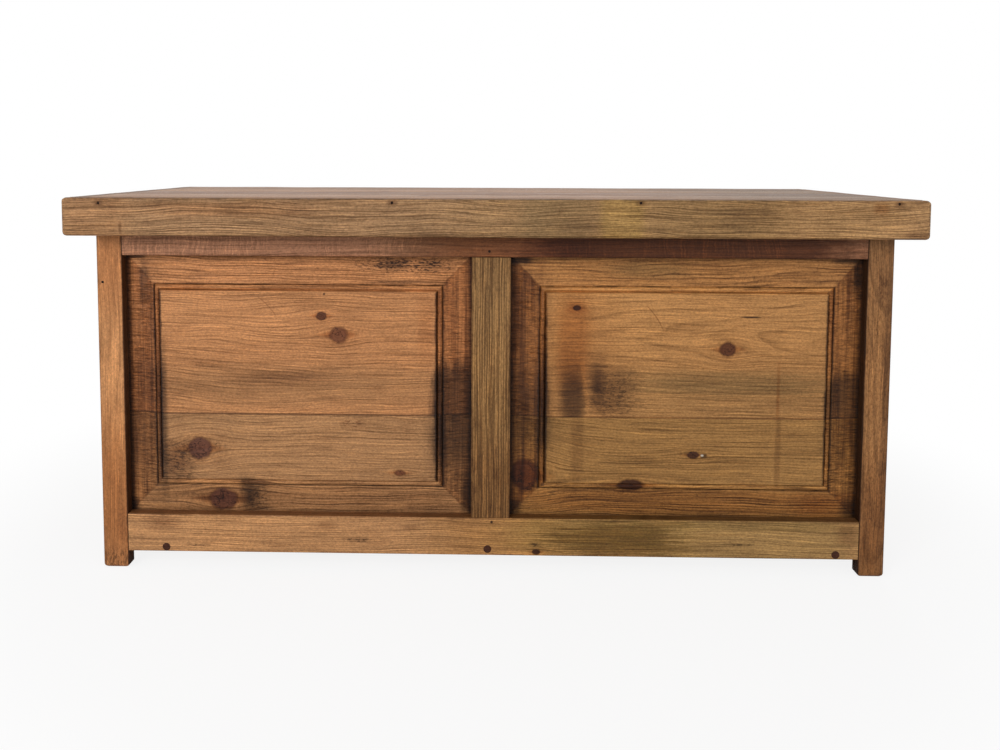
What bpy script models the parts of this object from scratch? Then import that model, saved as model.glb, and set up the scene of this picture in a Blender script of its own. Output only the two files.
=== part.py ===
"""Storage trunk: a frame-and-panel pine chest on four feet, with a hinged plank lid.

Metres, +Z up. The origin lies on the ground under the middle of the lid. +X runs along the
front from left to right, and +Y runs from the front to the back.
"""
import math

import bmesh
import bpy
from mathutils import Matrix, Vector

# Overall sizes
LID_LENGTH = 1.220
LID_DEPTH = 0.540
TRUNK_HEIGHT = 0.554

# Lid
LID_OVERHANG = 0.0345  # the lid stands out past the body by this much on every side
EDGING_HEIGHT = 0.055
EDGING_THICKNESS = 0.025
EDGING_END_RADIUS = 0.006
LID_PLANK_THICKNESS = 0.0285
LID_PLANK_COUNT = 4
BATTEN_WIDTH = 0.045
BATTEN_THICKNESS = 0.020
BATTEN_END_DISTANCE = 0.098  # from the inside of a side rail to the middle of an outer batten
BATTEN_END_ROOM = 0.022  # from a batten's end to the rail, so that the batten swings clear

# Framing stock, used for the legs, the rails and the muntins
STOCK_WIDTH = 0.057
STOCK_THICKNESS = 0.0375
FOOT_HEIGHT = 0.026  # from the ground to the bottom rails
FOOT_RADIUS = 0.0065
FOOT_SIDE_WIDTH = 0.020  # left of a foot's two inner sides when its inner corner is cut away
EDGE_RADIUS = 0.002

# Joints of the frame
FIT_GAP = 0.0003  # between any two faces that meet
TENON_LENGTH = 0.017
TENON_THICKNESS = 0.012
MORTISE_END_ROOM = 0.001
GROOVE_DEPTH = 0.010
GROOVE_TO_TENON = 0.003  # wood left between a rail's groove and its tenons

# Panels
PANEL_THICKNESS = 0.019
TONGUE_THICKNESS = 0.0085  # panel edges and the muntins' stub tenons
PANEL_SETBACK = 0.017  # from the frame's outer face to the face of a panel's edge
PANEL_END_ROOM = 0.0015  # from a panel's edge to the bottom of its groove
PANEL_JOINT_HEIGHT = 0.1495  # from the bottom rail up to the glue line between the two boards
BEVEL_WIDTH = 0.042
BEAD_WIDTH = 0.0095
BEVEL_DROP = 0.005  # depths below the raised field
QUIRK_DROP = 0.0035
BEAD_DROP = 0.002
QUIRK_RUN = 0.0006

# Floor
BEARER_WIDTH = 0.045
BEARER_HEIGHT = 0.018
BEARER_END_DISTANCE = 0.046  # from the inside of a side rail to the middle of an outer bearer
FLOOR_THICKNESS = 0.016
FLOOR_BOARD_COUNT = 4
FLOOR_TONGUE = 0.006
FLOOR_TONGUE_THICKNESS = 0.005

# Hinges
HINGE_END_DISTANCE = 0.118  # from the inside of a side rail to the middle of an outer hinge
HINGE_LENGTH = 0.076
LEAF_WIDTH = 0.024  # from the pin's axis to the leaf's far edge
LEAF_THICKNESS = 0.002
KNUCKLE_RADIUS = 0.0045
KNUCKLE_COUNT = 5
KNUCKLE_GAP = 0.0004
KNUCKLE_TURN = math.radians(300)
LEAF_NOTCH = 0.0052  # cut back this far from the axis, round the other leaf's knuckles
SCREW_HOLE_RADIUS = 0.0021
SCREW_SPACING = 0.026
SCREW_EDGE_DISTANCE = 0.009  # from the leaf's far edge to the row of screw holes
PIN_CLEARANCE = 0.0001
PIN_HEAD_RADIUS = 0.0042
PIN_HEAD_LENGTH = 0.0015

# Steps of the rounded shapes
EDGE_STEPS = 2
END_STEPS = 3
BEVEL_STEPS = 5
BEAD_STEPS = 4
KNUCKLE_STEPS = 15
PIN_SIDES = 18
SCREW_HOLE_SIDES = 10
SHARP_ANGLE = math.radians(35)

# Heights and faces worked out from the sizes above
BODY_HALF_LENGTH = LID_LENGTH / 2 - LID_OVERHANG
BODY_HALF_DEPTH = LID_DEPTH / 2 - LID_OVERHANG
PLANK_UNDERSIDE = TRUNK_HEIGHT - LID_PLANK_THICKNESS
BODY_TOP = PLANK_UNDERSIDE - FIT_GAP
EDGING_UNDERSIDE = TRUNK_HEIGHT - EDGING_HEIGHT
BOTTOM_RAIL_TOP = FOOT_HEIGHT + STOCK_WIDTH
TOP_RAIL_UNDERSIDE = BODY_TOP - STOCK_WIDTH
INSIDE_HALF_LENGTH = BODY_HALF_LENGTH - STOCK_THICKNESS
INSIDE_HALF_DEPTH = BODY_HALF_DEPTH - STOCK_THICKNESS
JOINT_PLANE = PANEL_SETBACK + TONGUE_THICKNESS / 2  # middle of the grooves and tenons
TENON_INSET = GROOVE_DEPTH + GROOVE_TO_TENON
PANEL_LIP = GROOVE_DEPTH - PANEL_END_ROOM
HINGE_AXIS_Y = BODY_HALF_DEPTH + FIT_GAP + KNUCKLE_RADIUS
HINGE_AXIS_Z = EDGING_UNDERSIDE - FIT_GAP - KNUCKLE_RADIUS

# Finishes: colour, roughness, metallic
LID_PINE = ((0.250, 0.118, 0.052), 0.42, 0.0)
FRAME_PINE = ((0.300, 0.165, 0.075), 0.50, 0.0)
PANEL_PINE = ((0.340, 0.165, 0.060), 0.45, 0.0)
RAW_PINE = ((0.480, 0.320, 0.170), 0.65, 0.0)
HINGE_STEEL = ((0.060, 0.052, 0.045), 0.45, 0.9)


def clear_scene():
    for old in list(bpy.data.objects):
        bpy.data.objects.remove(old, do_unlink=True)


def finish_material(name, finish):
    colour, roughness, metallic = finish
    material = bpy.data.materials.new(name)
    material.use_nodes = True
    shader = material.node_tree.nodes["Principled BSDF"]
    shader.inputs["Base Color"].default_value = (*colour, 1.0)
    shader.inputs["Roughness"].default_value = roughness
    shader.inputs["Metallic"].default_value = metallic
    return material


def empty(name, location, turn=0.0):
    guide = bpy.data.objects.new(name, None)
    guide.location = location
    guide.rotation_euler.z = turn
    bpy.context.collection.objects.link(guide)
    return guide


def solid(name, bm, finish, parent, location=(0, 0, 0), turn=0.0):
    """One sub-part from a closed bmesh, placed under its parent."""
    bmesh.ops.recalc_face_normals(bm, faces=bm.faces)
    mesh = bpy.data.meshes.new(name)
    bm.to_mesh(mesh)
    bm.free()
    mesh.shade_smooth()
    mesh.set_sharp_from_angle(angle=SHARP_ANGLE)
    mesh.materials.append(finish_material(name, finish))
    part = bpy.data.objects.new(name, mesh)
    part.parent = parent
    part.location = location
    part.rotation_euler.z = turn
    bpy.context.collection.objects.link(part)
    return part


def loft(rings):
    """A closed solid through rings of points that all have the same count."""
    bm = bmesh.new()
    loops = [[bm.verts.new(point) for point in ring] for ring in rings]
    for lower, upper in zip(loops, loops[1:]):
        for i, corner in enumerate(lower):
            before = i - 1
            bm.faces.new((lower[before], corner, upper[i], upper[before]))
    bm.faces.new(loops[0])
    bm.faces.new(loops[-1])
    return bm


def rounded_section(width, height, radius):
    """A rectangle about (0, 0) with rounded corners."""
    points = []
    for quarter, (side, level) in enumerate(((1, 1), (-1, 1), (-1, -1), (1, -1))):
        for step in range(EDGE_STEPS + 1):
            angle = (quarter + step / EDGE_STEPS) * math.pi / 2
            across = side * (width / 2 - radius) + radius * math.cos(angle)
            up = level * (height / 2 - radius) + radius * math.sin(angle)
            points.append((across, up))
    return points


def rounded_end(radius):
    """Steps in from an end: how far along, and how much the section is drawn in there."""
    if radius == 0:
        return [(0.0, 0.0)]
    steps = []
    for step in range(END_STEPS + 1):
        angle = step / END_STEPS * math.pi / 2
        steps.append((radius * (1 - math.cos(angle)), radius * (1 - math.sin(angle))))
    return steps


def bar(length, width, height, end_radius=0.0):
    """A straight piece of timber along X, with eased edges and optionally rounded ends."""
    near = [(-length / 2 + run, inset) for run, inset in rounded_end(end_radius)]
    far = [(-x, inset) for x, inset in reversed(near)]
    rings = []
    for x, inset in near + far:
        section = rounded_section(width - 2 * inset, height - 2 * inset, EDGE_RADIUS)
        rings.append([(x, across, up) for across, up in section])
    return loft(rings)


def add_box(bm, low, high):
    size = [top - bottom for bottom, top in zip(low, high)]
    middle = [(bottom + top) / 2 for bottom, top in zip(low, high)]
    place = Matrix.Translation(middle) @ Matrix.Diagonal((*size, 1.0))
    bmesh.ops.create_cube(bm, size=1.0, matrix=place)


def cut_out(part, bm):
    """Cut the closed shapes of a bmesh, given in the part's own frame, out of a part."""
    mesh = bpy.data.meshes.new(part.name + "_cutter")
    bm.to_mesh(mesh)
    bm.free()
    cutter = bpy.data.objects.new(part.name + "_cutter", mesh)
    cutter.parent = part
    cutter.hide_render = True
    cutter.display_type = "WIRE"
    bpy.context.collection.objects.link(cutter)
    cut = part.modifiers.new("cuts", "BOOLEAN")
    cut.operation = "DIFFERENCE"
    cut.object = cutter
    cut.use_self = True


def cut_boxes(part, boxes):
    """Cut mortises and grooves, given by their low and high corners, out of a part."""
    bm = bmesh.new()
    for low, high in boxes:
        add_box(bm, low, high)
    cut_out(part, bm)


def groove_across():
    """Near and far side of a panel groove, measured in from the frame's outer face."""
    return PANEL_SETBACK - FIT_GAP, PANEL_SETBACK + TONGUE_THICKNESS + FIT_GAP


def foot_corner(side, end):
    """The wood cut from the inner corner of a foot, below the rails, in the leg's own frame."""
    start = Vector((-STOCK_THICKNESS / 2, STOCK_WIDTH / 2 - FOOT_SIDE_WIDTH))
    stop = Vector((STOCK_THICKNESS / 2 - FOOT_SIDE_WIDTH, -STOCK_WIDTH / 2))
    overrun = (stop - start) / 4
    start -= overrun
    stop += overrun
    outline = [start, stop, Vector((start.x, stop.y))]
    rings = [[(side * x, end * y, z) for x, y in outline] for z in (-FOOT_HEIGHT, FOOT_HEIGHT)]
    bm = loft(rings)
    bmesh.ops.recalc_face_normals(bm, faces=bm.faces)
    return bm


def leg(name, body, side, end):
    """A corner post: side is -1 or 1 along X, and end is -1 or 1 along Y."""
    rings = []
    feet = rounded_end(FOOT_RADIUS)
    for z, inset in feet + [(BODY_TOP, 0.0)]:
        section = rounded_section(STOCK_THICKNESS - 2 * inset, STOCK_WIDTH - 2 * inset, EDGE_RADIUS)
        rings.append([(across, up, z) for across, up in section])
    middle_x = side * (BODY_HALF_LENGTH - STOCK_THICKNESS / 2)
    middle_y = end * (BODY_HALF_DEPTH - STOCK_WIDTH / 2)
    post = solid(name, loft(rings), FRAME_PINE, body, (middle_x, middle_y, 0))

    mortise_depth = TENON_LENGTH + MORTISE_END_ROOM
    mortise_half = TENON_THICKNESS / 2 + FIT_GAP
    mortise_across = (JOINT_PLANE - mortise_half, JOINT_PLANE + mortise_half)
    groove_low = BOTTOM_RAIL_TOP - GROOVE_DEPTH - FIT_GAP
    groove_high = TOP_RAIL_UNDERSIDE + GROOVE_DEPTH + FIT_GAP
    cuts = [(groove_across(), GROOVE_DEPTH, groove_low, groove_high)]
    for rail_low in (FOOT_HEIGHT, TOP_RAIL_UNDERSIDE):
        low = rail_low + TENON_INSET - FIT_GAP
        high = rail_low + STOCK_WIDTH - TENON_INSET + FIT_GAP
        cuts.append((mortise_across, mortise_depth, low, high))

    boxes = []
    for (near, far), depth, low, high in cuts:
        for width, length, turned in (
            (STOCK_THICKNESS, STOCK_WIDTH, False),
            (STOCK_WIDTH, STOCK_THICKNESS, True),
        ):
            inner = (-width / 2 - depth, -width / 2 + depth)
            across = (length / 2 - far, length / 2 - near)
            spans = [across, inner] if turned else [inner, across]
            flat = [sorted((sign * a, sign * b)) for sign, (a, b) in zip((side, end), spans)]
            boxes.append(((flat[0][0], flat[1][0], low), (flat[0][1], flat[1][1], high)))
    cut_boxes(post, boxes)
    cut_out(post, foot_corner(side, end))


def rail(name, wall, span, underside, groove_on_top):
    """A rail between two legs, in its wall's frame: outer face at y = 0, inwards is +y."""
    shoulder = span / 2 - FIT_GAP
    tenon_end = shoulder + TENON_LENGTH
    middle = STOCK_THICKNESS / 2
    full = rounded_section(STOCK_THICKNESS, STOCK_WIDTH, EDGE_RADIUS)
    tenon = rounded_section(TENON_THICKNESS, STOCK_WIDTH - 2 * TENON_INSET, EDGE_RADIUS)
    rings = []
    for x, section, centre in (
        (-tenon_end, tenon, JOINT_PLANE),
        (-shoulder, tenon, JOINT_PLANE),
        (-shoulder, full, middle),
        (shoulder, full, middle),
        (shoulder, tenon, JOINT_PLANE),
        (tenon_end, tenon, JOINT_PLANE),
    ):
        rings.append([(x, centre + across, up) for across, up in section])
    piece = solid(name, loft(rings), FRAME_PINE, wall, (0, 0, underside + STOCK_WIDTH / 2))
    near, far = groove_across()
    edge = STOCK_WIDTH / 2
    bottom, top = edge - GROOVE_DEPTH, edge + GROOVE_DEPTH
    if not groove_on_top:
        bottom, top = -top, -bottom
    cut_boxes(piece, [((-span, near, bottom), (span, far, top))])


def muntin(name, wall):
    """The upright between two panels, stub-tenoned into the grooves of both rails."""
    low = BOTTOM_RAIL_TOP + FIT_GAP
    high = TOP_RAIL_UNDERSIDE - FIT_GAP
    stub = GROOVE_DEPTH - PANEL_END_ROOM
    middle = STOCK_THICKNESS / 2
    full = rounded_section(STOCK_WIDTH, STOCK_THICKNESS, EDGE_RADIUS)
    tongue = rounded_section(STOCK_WIDTH - 2 * TENON_INSET, TONGUE_THICKNESS, EDGE_RADIUS)
    rings = []
    for z, section, centre in (
        (low - stub, tongue, JOINT_PLANE),
        (low, tongue, JOINT_PLANE),
        (low, full, middle),
        (high, full, middle),
        (high, tongue, JOINT_PLANE),
        (high + stub, tongue, JOINT_PLANE),
    ):
        rings.append([(across, centre + up, z) for across, up in section])
    piece = solid(name, loft(rings), FRAME_PINE, wall)
    near, far = groove_across()
    inner = STOCK_WIDTH / 2 - GROOVE_DEPTH
    outer = STOCK_WIDTH / 2 + GROOVE_DEPTH
    right = ((inner, near, low - GROOVE_DEPTH), (outer, far, high + GROOVE_DEPTH))
    left = ((-outer, near, low - GROOVE_DEPTH), (-inner, far, high + GROOVE_DEPTH))
    cut_boxes(piece, [left, right])


def raised_profile():
    """Steps from a panel's edge to its field: how far in from the opening, and how high."""
    field = PANEL_THICKNESS - TONGUE_THICKNESS
    steps = [(-PANEL_LIP, 0.0)]
    for step in range(BEVEL_STEPS + 1):
        share = step / BEVEL_STEPS
        rise = (field - BEVEL_DROP) * (1 - math.cos(share * math.pi / 2))
        steps.append((BEVEL_WIDTH * share, rise))
    bead_start = BEVEL_WIDTH + QUIRK_RUN
    bead_run = BEAD_WIDTH - 2 * QUIRK_RUN
    for step in range(BEAD_STEPS + 1):
        share = step / BEAD_STEPS
        crown = (QUIRK_DROP - BEAD_DROP) * math.sin(share * math.pi)
        steps.append((bead_start + bead_run * share, field - QUIRK_DROP + crown))
    steps.append((BEVEL_WIDTH + BEAD_WIDTH, field))
    return steps


def flat_profile():
    return [(-PANEL_LIP, 0.0)]


def panel(name, wall, middle, width, profile):
    """A panel of two boards in the grooves round one opening of a wall."""
    opening_low = BOTTOM_RAIL_TOP
    opening_high = TOP_RAIL_UNDERSIDE

    def ring(inset, y):
        left, right = -width / 2 + inset, width / 2 - inset
        low, high = opening_low + inset, opening_high - inset
        return [(left, y, low), (right, y, low), (right, y, high), (left, y, high)]

    back = PANEL_SETBACK + TONGUE_THICKNESS
    rings = [ring(-PANEL_LIP, back)]
    rings += [ring(inset, PANEL_SETBACK - rise) for inset, rise in profile]
    joint = opening_low + PANEL_JOINT_HEIGHT
    for board, level, upward in (
        ("upper", joint + FIT_GAP / 2, -1),
        ("lower", joint - FIT_GAP / 2, 1),
    ):
        bm = loft(rings)
        cut = bmesh.ops.bisect_plane(
            bm,
            geom=bm.verts[:] + bm.edges[:] + bm.faces[:],
            plane_co=(0, 0, level),
            plane_no=(0, 0, upward),
            clear_outer=True,
        )
        rim = [item for item in cut["geom_cut"] if isinstance(item, bmesh.types.BMEdge)]
        bmesh.ops.contextual_create(bm, geom=rim)
        solid(f"{name}_{board}", bm, PANEL_PINE, wall, (middle, 0, 0))


def frame_wall(side, outer_face, turn, span, panel_names, profile):
    """One side of the body: two rails, the panels, and a muntin between two panels."""
    wall = empty(side + "_wall", outer_face, turn)
    rail(side + "_bottom_rail", wall, span, FOOT_HEIGHT, groove_on_top=True)
    rail(side + "_top_rail", wall, span, TOP_RAIL_UNDERSIDE, groove_on_top=False)
    count = len(panel_names)
    width = (span - (count - 1) * STOCK_WIDTH) / count
    for i, panel_name in enumerate(panel_names):
        middle = (i - (count - 1) / 2) * (width + STOCK_WIDTH)
        panel(panel_name, wall, middle, width, profile)
    if count == 2:
        muntin(side + "_muntin", wall)


def floor_section(width, has_groove, has_tongue):
    """Section of a floor board across Y: groove at the front edge, tongue at the back edge."""
    half = width / 2
    level = FLOOR_THICKNESS / 2
    slot = FLOOR_TONGUE_THICKNESS / 2 + FIT_GAP
    slot_end = -half + FLOOR_TONGUE + FIT_GAP
    tongue = FLOOR_TONGUE_THICKNESS / 2
    points = [(-half, level), (-half, -level), (half, -level), (half, level)]
    if has_tongue:
        tip = half + FLOOR_TONGUE
        points[3:3] = [(half, -tongue), (tip, -tongue), (tip, tongue), (half, tongue)]
    if has_groove:
        points[1:1] = [(-half, slot), (slot_end, slot), (slot_end, -slot), (-half, -slot)]
    return points


def floor(body):
    """Three bearers between the long bottom rails, and boards that lie on them."""
    length = 2 * (INSIDE_HALF_DEPTH - FIT_GAP)
    level = FOOT_HEIGHT + BEARER_HEIGHT / 2
    for place, name in ((-1, "left"), (0, "middle"), (1, "right")):
        bearer = bar(length, BEARER_WIDTH, BEARER_HEIGHT)
        at = (place * (INSIDE_HALF_LENGTH - BEARER_END_DISTANCE), 0, level)
        solid("floor_bearer_" + name, bearer, RAW_PINE, body, at, math.pi / 2)

    pitch = 2 * INSIDE_HALF_DEPTH / FLOOR_BOARD_COUNT
    half_length = INSIDE_HALF_LENGTH - FIT_GAP
    level = FOOT_HEIGHT + BEARER_HEIGHT + FIT_GAP + FLOOR_THICKNESS / 2
    for i in range(FLOOR_BOARD_COUNT):
        section = floor_section(pitch - 2 * FIT_GAP, i > 0, i < FLOOR_BOARD_COUNT - 1)
        rings = [[(x, across, up) for across, up in section] for x in (-half_length, half_length)]
        at = (0, -INSIDE_HALF_DEPTH + (i + 0.5) * pitch, level)
        solid(f"floor_board_{i + 1}", loft(rings), RAW_PINE, body, at)


def lid(pivot):
    """Planks inside an edging on all four sides, with battens across the underside."""

    def place(x, y, z):
        return Vector((x, y, z)) - pivot.location

    inner_length = LID_LENGTH - 2 * EDGING_THICKNESS
    inner_depth = LID_DEPTH - 2 * EDGING_THICKNESS
    pitch = inner_depth / LID_PLANK_COUNT
    level = TRUNK_HEIGHT - LID_PLANK_THICKNESS / 2
    for i in range(LID_PLANK_COUNT):
        plank = bar(inner_length - 2 * FIT_GAP, pitch - 2 * FIT_GAP, LID_PLANK_THICKNESS)
        at = place(0, -inner_depth / 2 + (i + 0.5) * pitch, level)
        solid(f"lid_plank_{i + 1}", plank, LID_PINE, pivot, at)

    level = TRUNK_HEIGHT - EDGING_HEIGHT / 2
    for end, name in ((-1, "front"), (1, "back")):
        edging = bar(LID_LENGTH, EDGING_THICKNESS, EDGING_HEIGHT, EDGING_END_RADIUS)
        at = place(0, end * (LID_DEPTH - EDGING_THICKNESS) / 2, level)
        solid("lid_edging_" + name, edging, LID_PINE, pivot, at)
    for side, name in ((-1, "left"), (1, "right")):
        edging = bar(inner_depth - 2 * FIT_GAP, EDGING_THICKNESS, EDGING_HEIGHT)
        at = place(side * (LID_LENGTH - EDGING_THICKNESS) / 2, 0, level)
        solid("lid_edging_" + name, edging, LID_PINE, pivot, at, math.pi / 2)

    length = 2 * (INSIDE_HALF_DEPTH - BATTEN_END_ROOM)
    level = PLANK_UNDERSIDE - FIT_GAP - BATTEN_THICKNESS / 2
    for side, name in ((-1, "left"), (0, "middle"), (1, "right")):
        batten = bar(length, BATTEN_WIDTH, BATTEN_THICKNESS, EDGING_END_RADIUS)
        at = place(side * (INSIDE_HALF_LENGTH - BATTEN_END_DISTANCE), 0, level)
        solid("lid_batten_" + name, batten, RAW_PINE, pivot, at, math.pi / 2)


def knuckle_spans():
    """Start and end along X of every knuckle, with a gap between neighbours."""
    pitch = HINGE_LENGTH / KNUCKLE_COUNT
    spans = []
    for i in range(KNUCKLE_COUNT):
        start = -HINGE_LENGTH / 2 + i * pitch
        spans.append((start + KNUCKLE_GAP / 2, start + pitch - KNUCKLE_GAP / 2))
    return spans


def hinge_leaf(first_knuckle):
    """A plate below the axis whose every other knuckle, from the first one on, rolls round the pin."""
    outer = -KNUCKLE_RADIUS
    inner = -KNUCKLE_RADIUS + LEAF_THICKNESS
    half = HINGE_LENGTH / 2
    outline = [(-half, -LEAF_NOTCH), (-half, -LEAF_WIDTH), (half, -LEAF_WIDTH), (half, -LEAF_NOTCH)]
    for start, end in reversed(knuckle_spans()[first_knuckle::2]):
        outline += [(end, -LEAF_NOTCH), (end, 0.0), (start, 0.0), (start, -LEAF_NOTCH)]
    rings = [[(x, y, z) for x, z in outline] for y in (outer, inner)]
    bm = loft(rings)
    tips = [face for face in bm.faces if all(vert.co.z == 0.0 for vert in face.verts)]
    for tip in tips:
        bmesh.ops.spin(
            bm,
            geom=[tip],
            cent=(0, 0, 0),
            axis=(1, 0, 0),
            angle=-KNUCKLE_TURN,
            steps=KNUCKLE_STEPS,
        )
    bmesh.ops.delete(bm, geom=tips, context="FACES_ONLY")
    return bm


def hinge_pin():
    radius = KNUCKLE_RADIUS - LEAF_THICKNESS - PIN_CLEARANCE
    half = HINGE_LENGTH / 2
    rings = []
    for x, r in (
        (-half, radius),
        (half + FIT_GAP, radius),
        (half + FIT_GAP, PIN_HEAD_RADIUS),
        (half + FIT_GAP + PIN_HEAD_LENGTH / 2, PIN_HEAD_RADIUS),
        (half + FIT_GAP + PIN_HEAD_LENGTH, radius),
    ):
        angles = [i / PIN_SIDES * math.tau for i in range(PIN_SIDES)]
        rings.append([(x, r * math.cos(angle), r * math.sin(angle)) for angle in angles])
    return loft(rings)


def screw_holes(flip):
    """Drills through a leaf, turned as the leaf is."""
    bm = bmesh.new()
    row = -LEAF_WIDTH + SCREW_EDGE_DISTANCE
    middle = -KNUCKLE_RADIUS + LEAF_THICKNESS / 2
    for place in (-1, 0, 1):
        at = Matrix.Translation((place * SCREW_SPACING, middle, row))
        bmesh.ops.create_cone(
            bm,
            cap_ends=True,
            segments=SCREW_HOLE_SIDES,
            radius1=SCREW_HOLE_RADIUS,
            radius2=SCREW_HOLE_RADIUS,
            depth=2 * LEAF_THICKNESS,
            matrix=at @ Matrix.Rotation(math.pi / 2, 4, "X"),
        )
    bmesh.ops.transform(bm, matrix=flip, verts=bm.verts)
    bmesh.ops.recalc_face_normals(bm, faces=bm.faces)
    return bm


def hinges(body, pivot):
    """Butt hinges in the corner between the back rail and the underside of the back edging."""
    upright = Matrix.Identity(4)
    level = Matrix(((1, 0, 0), (0, 0, -1), (0, -1, 0))).to_4x4()
    for side, name in ((-1, "left"), (0, "middle"), (1, "right")):
        x = side * (INSIDE_HALF_LENGTH - HINGE_END_DISTANCE)
        axis = (x, HINGE_AXIS_Y, HINGE_AXIS_Z)
        for part_name, first_knuckle, flip, parent, at in (
            ("body_leaf", 0, upright, body, axis),
            ("lid_leaf", 1, level, pivot, (x, 0, 0)),
        ):
            bm = hinge_leaf(first_knuckle)
            bmesh.ops.transform(bm, matrix=flip, verts=bm.verts)
            leaf = solid(f"hinge_{name}_{part_name}", bm, HINGE_STEEL, parent, at)
            cut_out(leaf, screw_holes(flip))
        solid(f"hinge_{name}_pin", hinge_pin(), HINGE_STEEL, body, axis)


def main():
    clear_scene()
    body = empty("body", (0, 0, 0))
    for end, end_name in ((-1, "front"), (1, "back")):
        for side, side_name in ((-1, "left"), (1, "right")):
            leg(f"leg_{end_name}_{side_name}", body, side, end)

    long_span = 2 * (BODY_HALF_LENGTH - STOCK_THICKNESS)
    short_span = 2 * (BODY_HALF_DEPTH - STOCK_WIDTH)
    raised = raised_profile()
    front = ("front_left_panel", "front_right_panel")
    back = ("back_right_panel", "back_left_panel")
    quarter = math.pi / 2
    frame_wall("front", (0, -BODY_HALF_DEPTH, 0), 0, long_span, front, raised)
    frame_wall("back", (0, BODY_HALF_DEPTH, 0), 2 * quarter, long_span, back, flat_profile())
    frame_wall("left", (-BODY_HALF_LENGTH, 0, 0), -quarter, short_span, ("left_panel",), raised)
    frame_wall("right", (BODY_HALF_LENGTH, 0, 0), quarter, short_span, ("right_panel",), raised)
    floor(body)

    pivot = empty("lid_pivot", (0, HINGE_AXIS_Y, HINGE_AXIS_Z))
    lid(pivot)
    hinges(body, pivot)


main()
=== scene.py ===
import math
import random

import bmesh
import bpy
from mathutils import Matrix, Vector


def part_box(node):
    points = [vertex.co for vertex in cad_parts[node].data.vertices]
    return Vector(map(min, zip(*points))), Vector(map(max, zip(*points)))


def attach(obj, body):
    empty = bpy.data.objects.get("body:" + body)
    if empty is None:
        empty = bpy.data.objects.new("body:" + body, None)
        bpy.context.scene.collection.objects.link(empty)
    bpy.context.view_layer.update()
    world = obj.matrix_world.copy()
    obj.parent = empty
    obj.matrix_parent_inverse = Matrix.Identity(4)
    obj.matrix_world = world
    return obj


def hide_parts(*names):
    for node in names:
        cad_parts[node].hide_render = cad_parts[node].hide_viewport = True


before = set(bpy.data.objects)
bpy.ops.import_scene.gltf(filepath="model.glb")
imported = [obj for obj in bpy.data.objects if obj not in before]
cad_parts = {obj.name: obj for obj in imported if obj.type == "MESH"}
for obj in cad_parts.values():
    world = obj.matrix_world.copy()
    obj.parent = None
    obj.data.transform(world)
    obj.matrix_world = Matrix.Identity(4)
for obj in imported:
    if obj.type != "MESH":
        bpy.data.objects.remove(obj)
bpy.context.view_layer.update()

# Camera, fitted to the photograph, in metres, radians and millimetres of lens
CAMERA_PLACE = (-0.0003, -1.5408, 0.6076)
CAMERA_YAW = 0.0225
CAMERA_PITCH = -0.0701
CAMERA_ROLL = 0.0032
CAMERA_LENS = 32.744
CAMERA_SENSOR = 36.0
CAMERA_SHIFT = (0.0290, -0.1507)

# Raised panels, in metres; heights are above the face of the panel's tongue
PANEL_TONGUE = 0.0085
PANEL_LIP = 0.0085  # how far a panel reaches into its groove
COVE_WIDTH = 0.042
COVE_RISE = 0.0055
COVE_STEPS = 14
BEAD_WIDTH = 0.0095
BEAD_LOW = 0.0062
BEAD_HIGH = 0.0085
BEAD_STEPS = 10
QUIRK_RUN = 0.0007
QUIRK_LOW = 0.0044
MOULDING_WIDTH = COVE_WIDTH + BEAD_WIDTH
FIELD_RISE = 0.0105
FIELD_ROUND = 0.0005
GLUE_LINE = 0.2325  # height of the joint between a panel's two boards
GLUE_GAP = 0.00015
SMOOTH_ANGLE = math.radians(40)
SHARP_ANGLE = math.radians(50)
SAME_PLACE = 1e-4
WEAR_SCALE = 0.08  # size of the dips in a worn board
JOINT_CLOSING = 0.00025  # how far the lid's edging closes its gap to the planks

# Openings that the panels show in
OPENING_LOW = 0.083
OPENING_HIGH = 0.4682
OPENING_MIDDLE = (OPENING_LOW + OPENING_HIGH) / 2
OPENING_HALF_HEIGHT = (OPENING_HIGH - OPENING_LOW) / 2
FRONT_OPENING_HALF = 0.25475
FRONT_OPENING_MIDDLE = 0.28325
SIDE_OPENING_HALF = 0.1785
FRAME_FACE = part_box("front_bottom_rail")[0].y
LID_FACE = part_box("lid_edging_front")[0].y

# Tints that a patch multiplies the wood's colour by, for stains, wear and knots and for painted shade and
# painted highlight
SMOKE = (0.62, 0.68, 0.70)
# the darkest tint: black dirt in cracks, joints and quirks, and painted shade in recesses and corners
SOOT_AND_SHADE = (0.13, 0.11, 0.11)
UMBER = (0.40, 0.31, 0.26)
RUST = (0.72, 0.54, 0.38)
OLIVE = (0.78, 0.90, 0.76)
YELLOW = (0.98, 1.02, 0.78)
GLOW = (1.35, 1.32, 1.25)
EMBER = (1.42, 1.27, 1.02)
PALE = (1.90, 1.85, 1.75)
MOSS = (0.56, 0.57, 0.44)
PEAT = (0.42, 0.31, 0.19)
DUSK = (0.40, 0.36, 0.36)

# Colours of the boards that the photograph doesn't show, and of a pale chip in a panel
PANEL_COLOUR = (0.350, 0.168, 0.062)
FRAME_COLOUR = (0.320, 0.162, 0.066)
INNER_COLOUR = (0.520, 0.322, 0.155)
PALE_CHIP = (0.58, 0.52, 0.42)

# Knot colours
KNOT_BROWN = (0.150, 0.049, 0.019)
KNOT_RED = (0.118, 0.042, 0.024)
KNOT_MAROON = (0.088, 0.026, 0.009)
KNOT_DARK = (0.045, 0.013, 0.005)

# How a board's colour is made from its grain: its lightest and darkest wood, and what each mark darkens
LIGHT_WOOD = (1.33, 1.33, 1.33)
DARK_WOOD = (0.50, 0.45, 0.40)
KNOT_LIGHT = (1.10, 1.08, 1.08)
KNOT_SHADE = (0.90, 0.88, 0.88)
LINE_WEIGHTS = {"Late wood": 0.44, "Streak": 0.26, "Pore": 0.36, "Fleck": 0.13}
TICK_WEIGHT = 0.20
GRIT = 1.5  # how far the finest texture lightens and darkens the wood
WOOD_RELIEF = 0.0008
METAL_RELIEF = 0.0003

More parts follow.
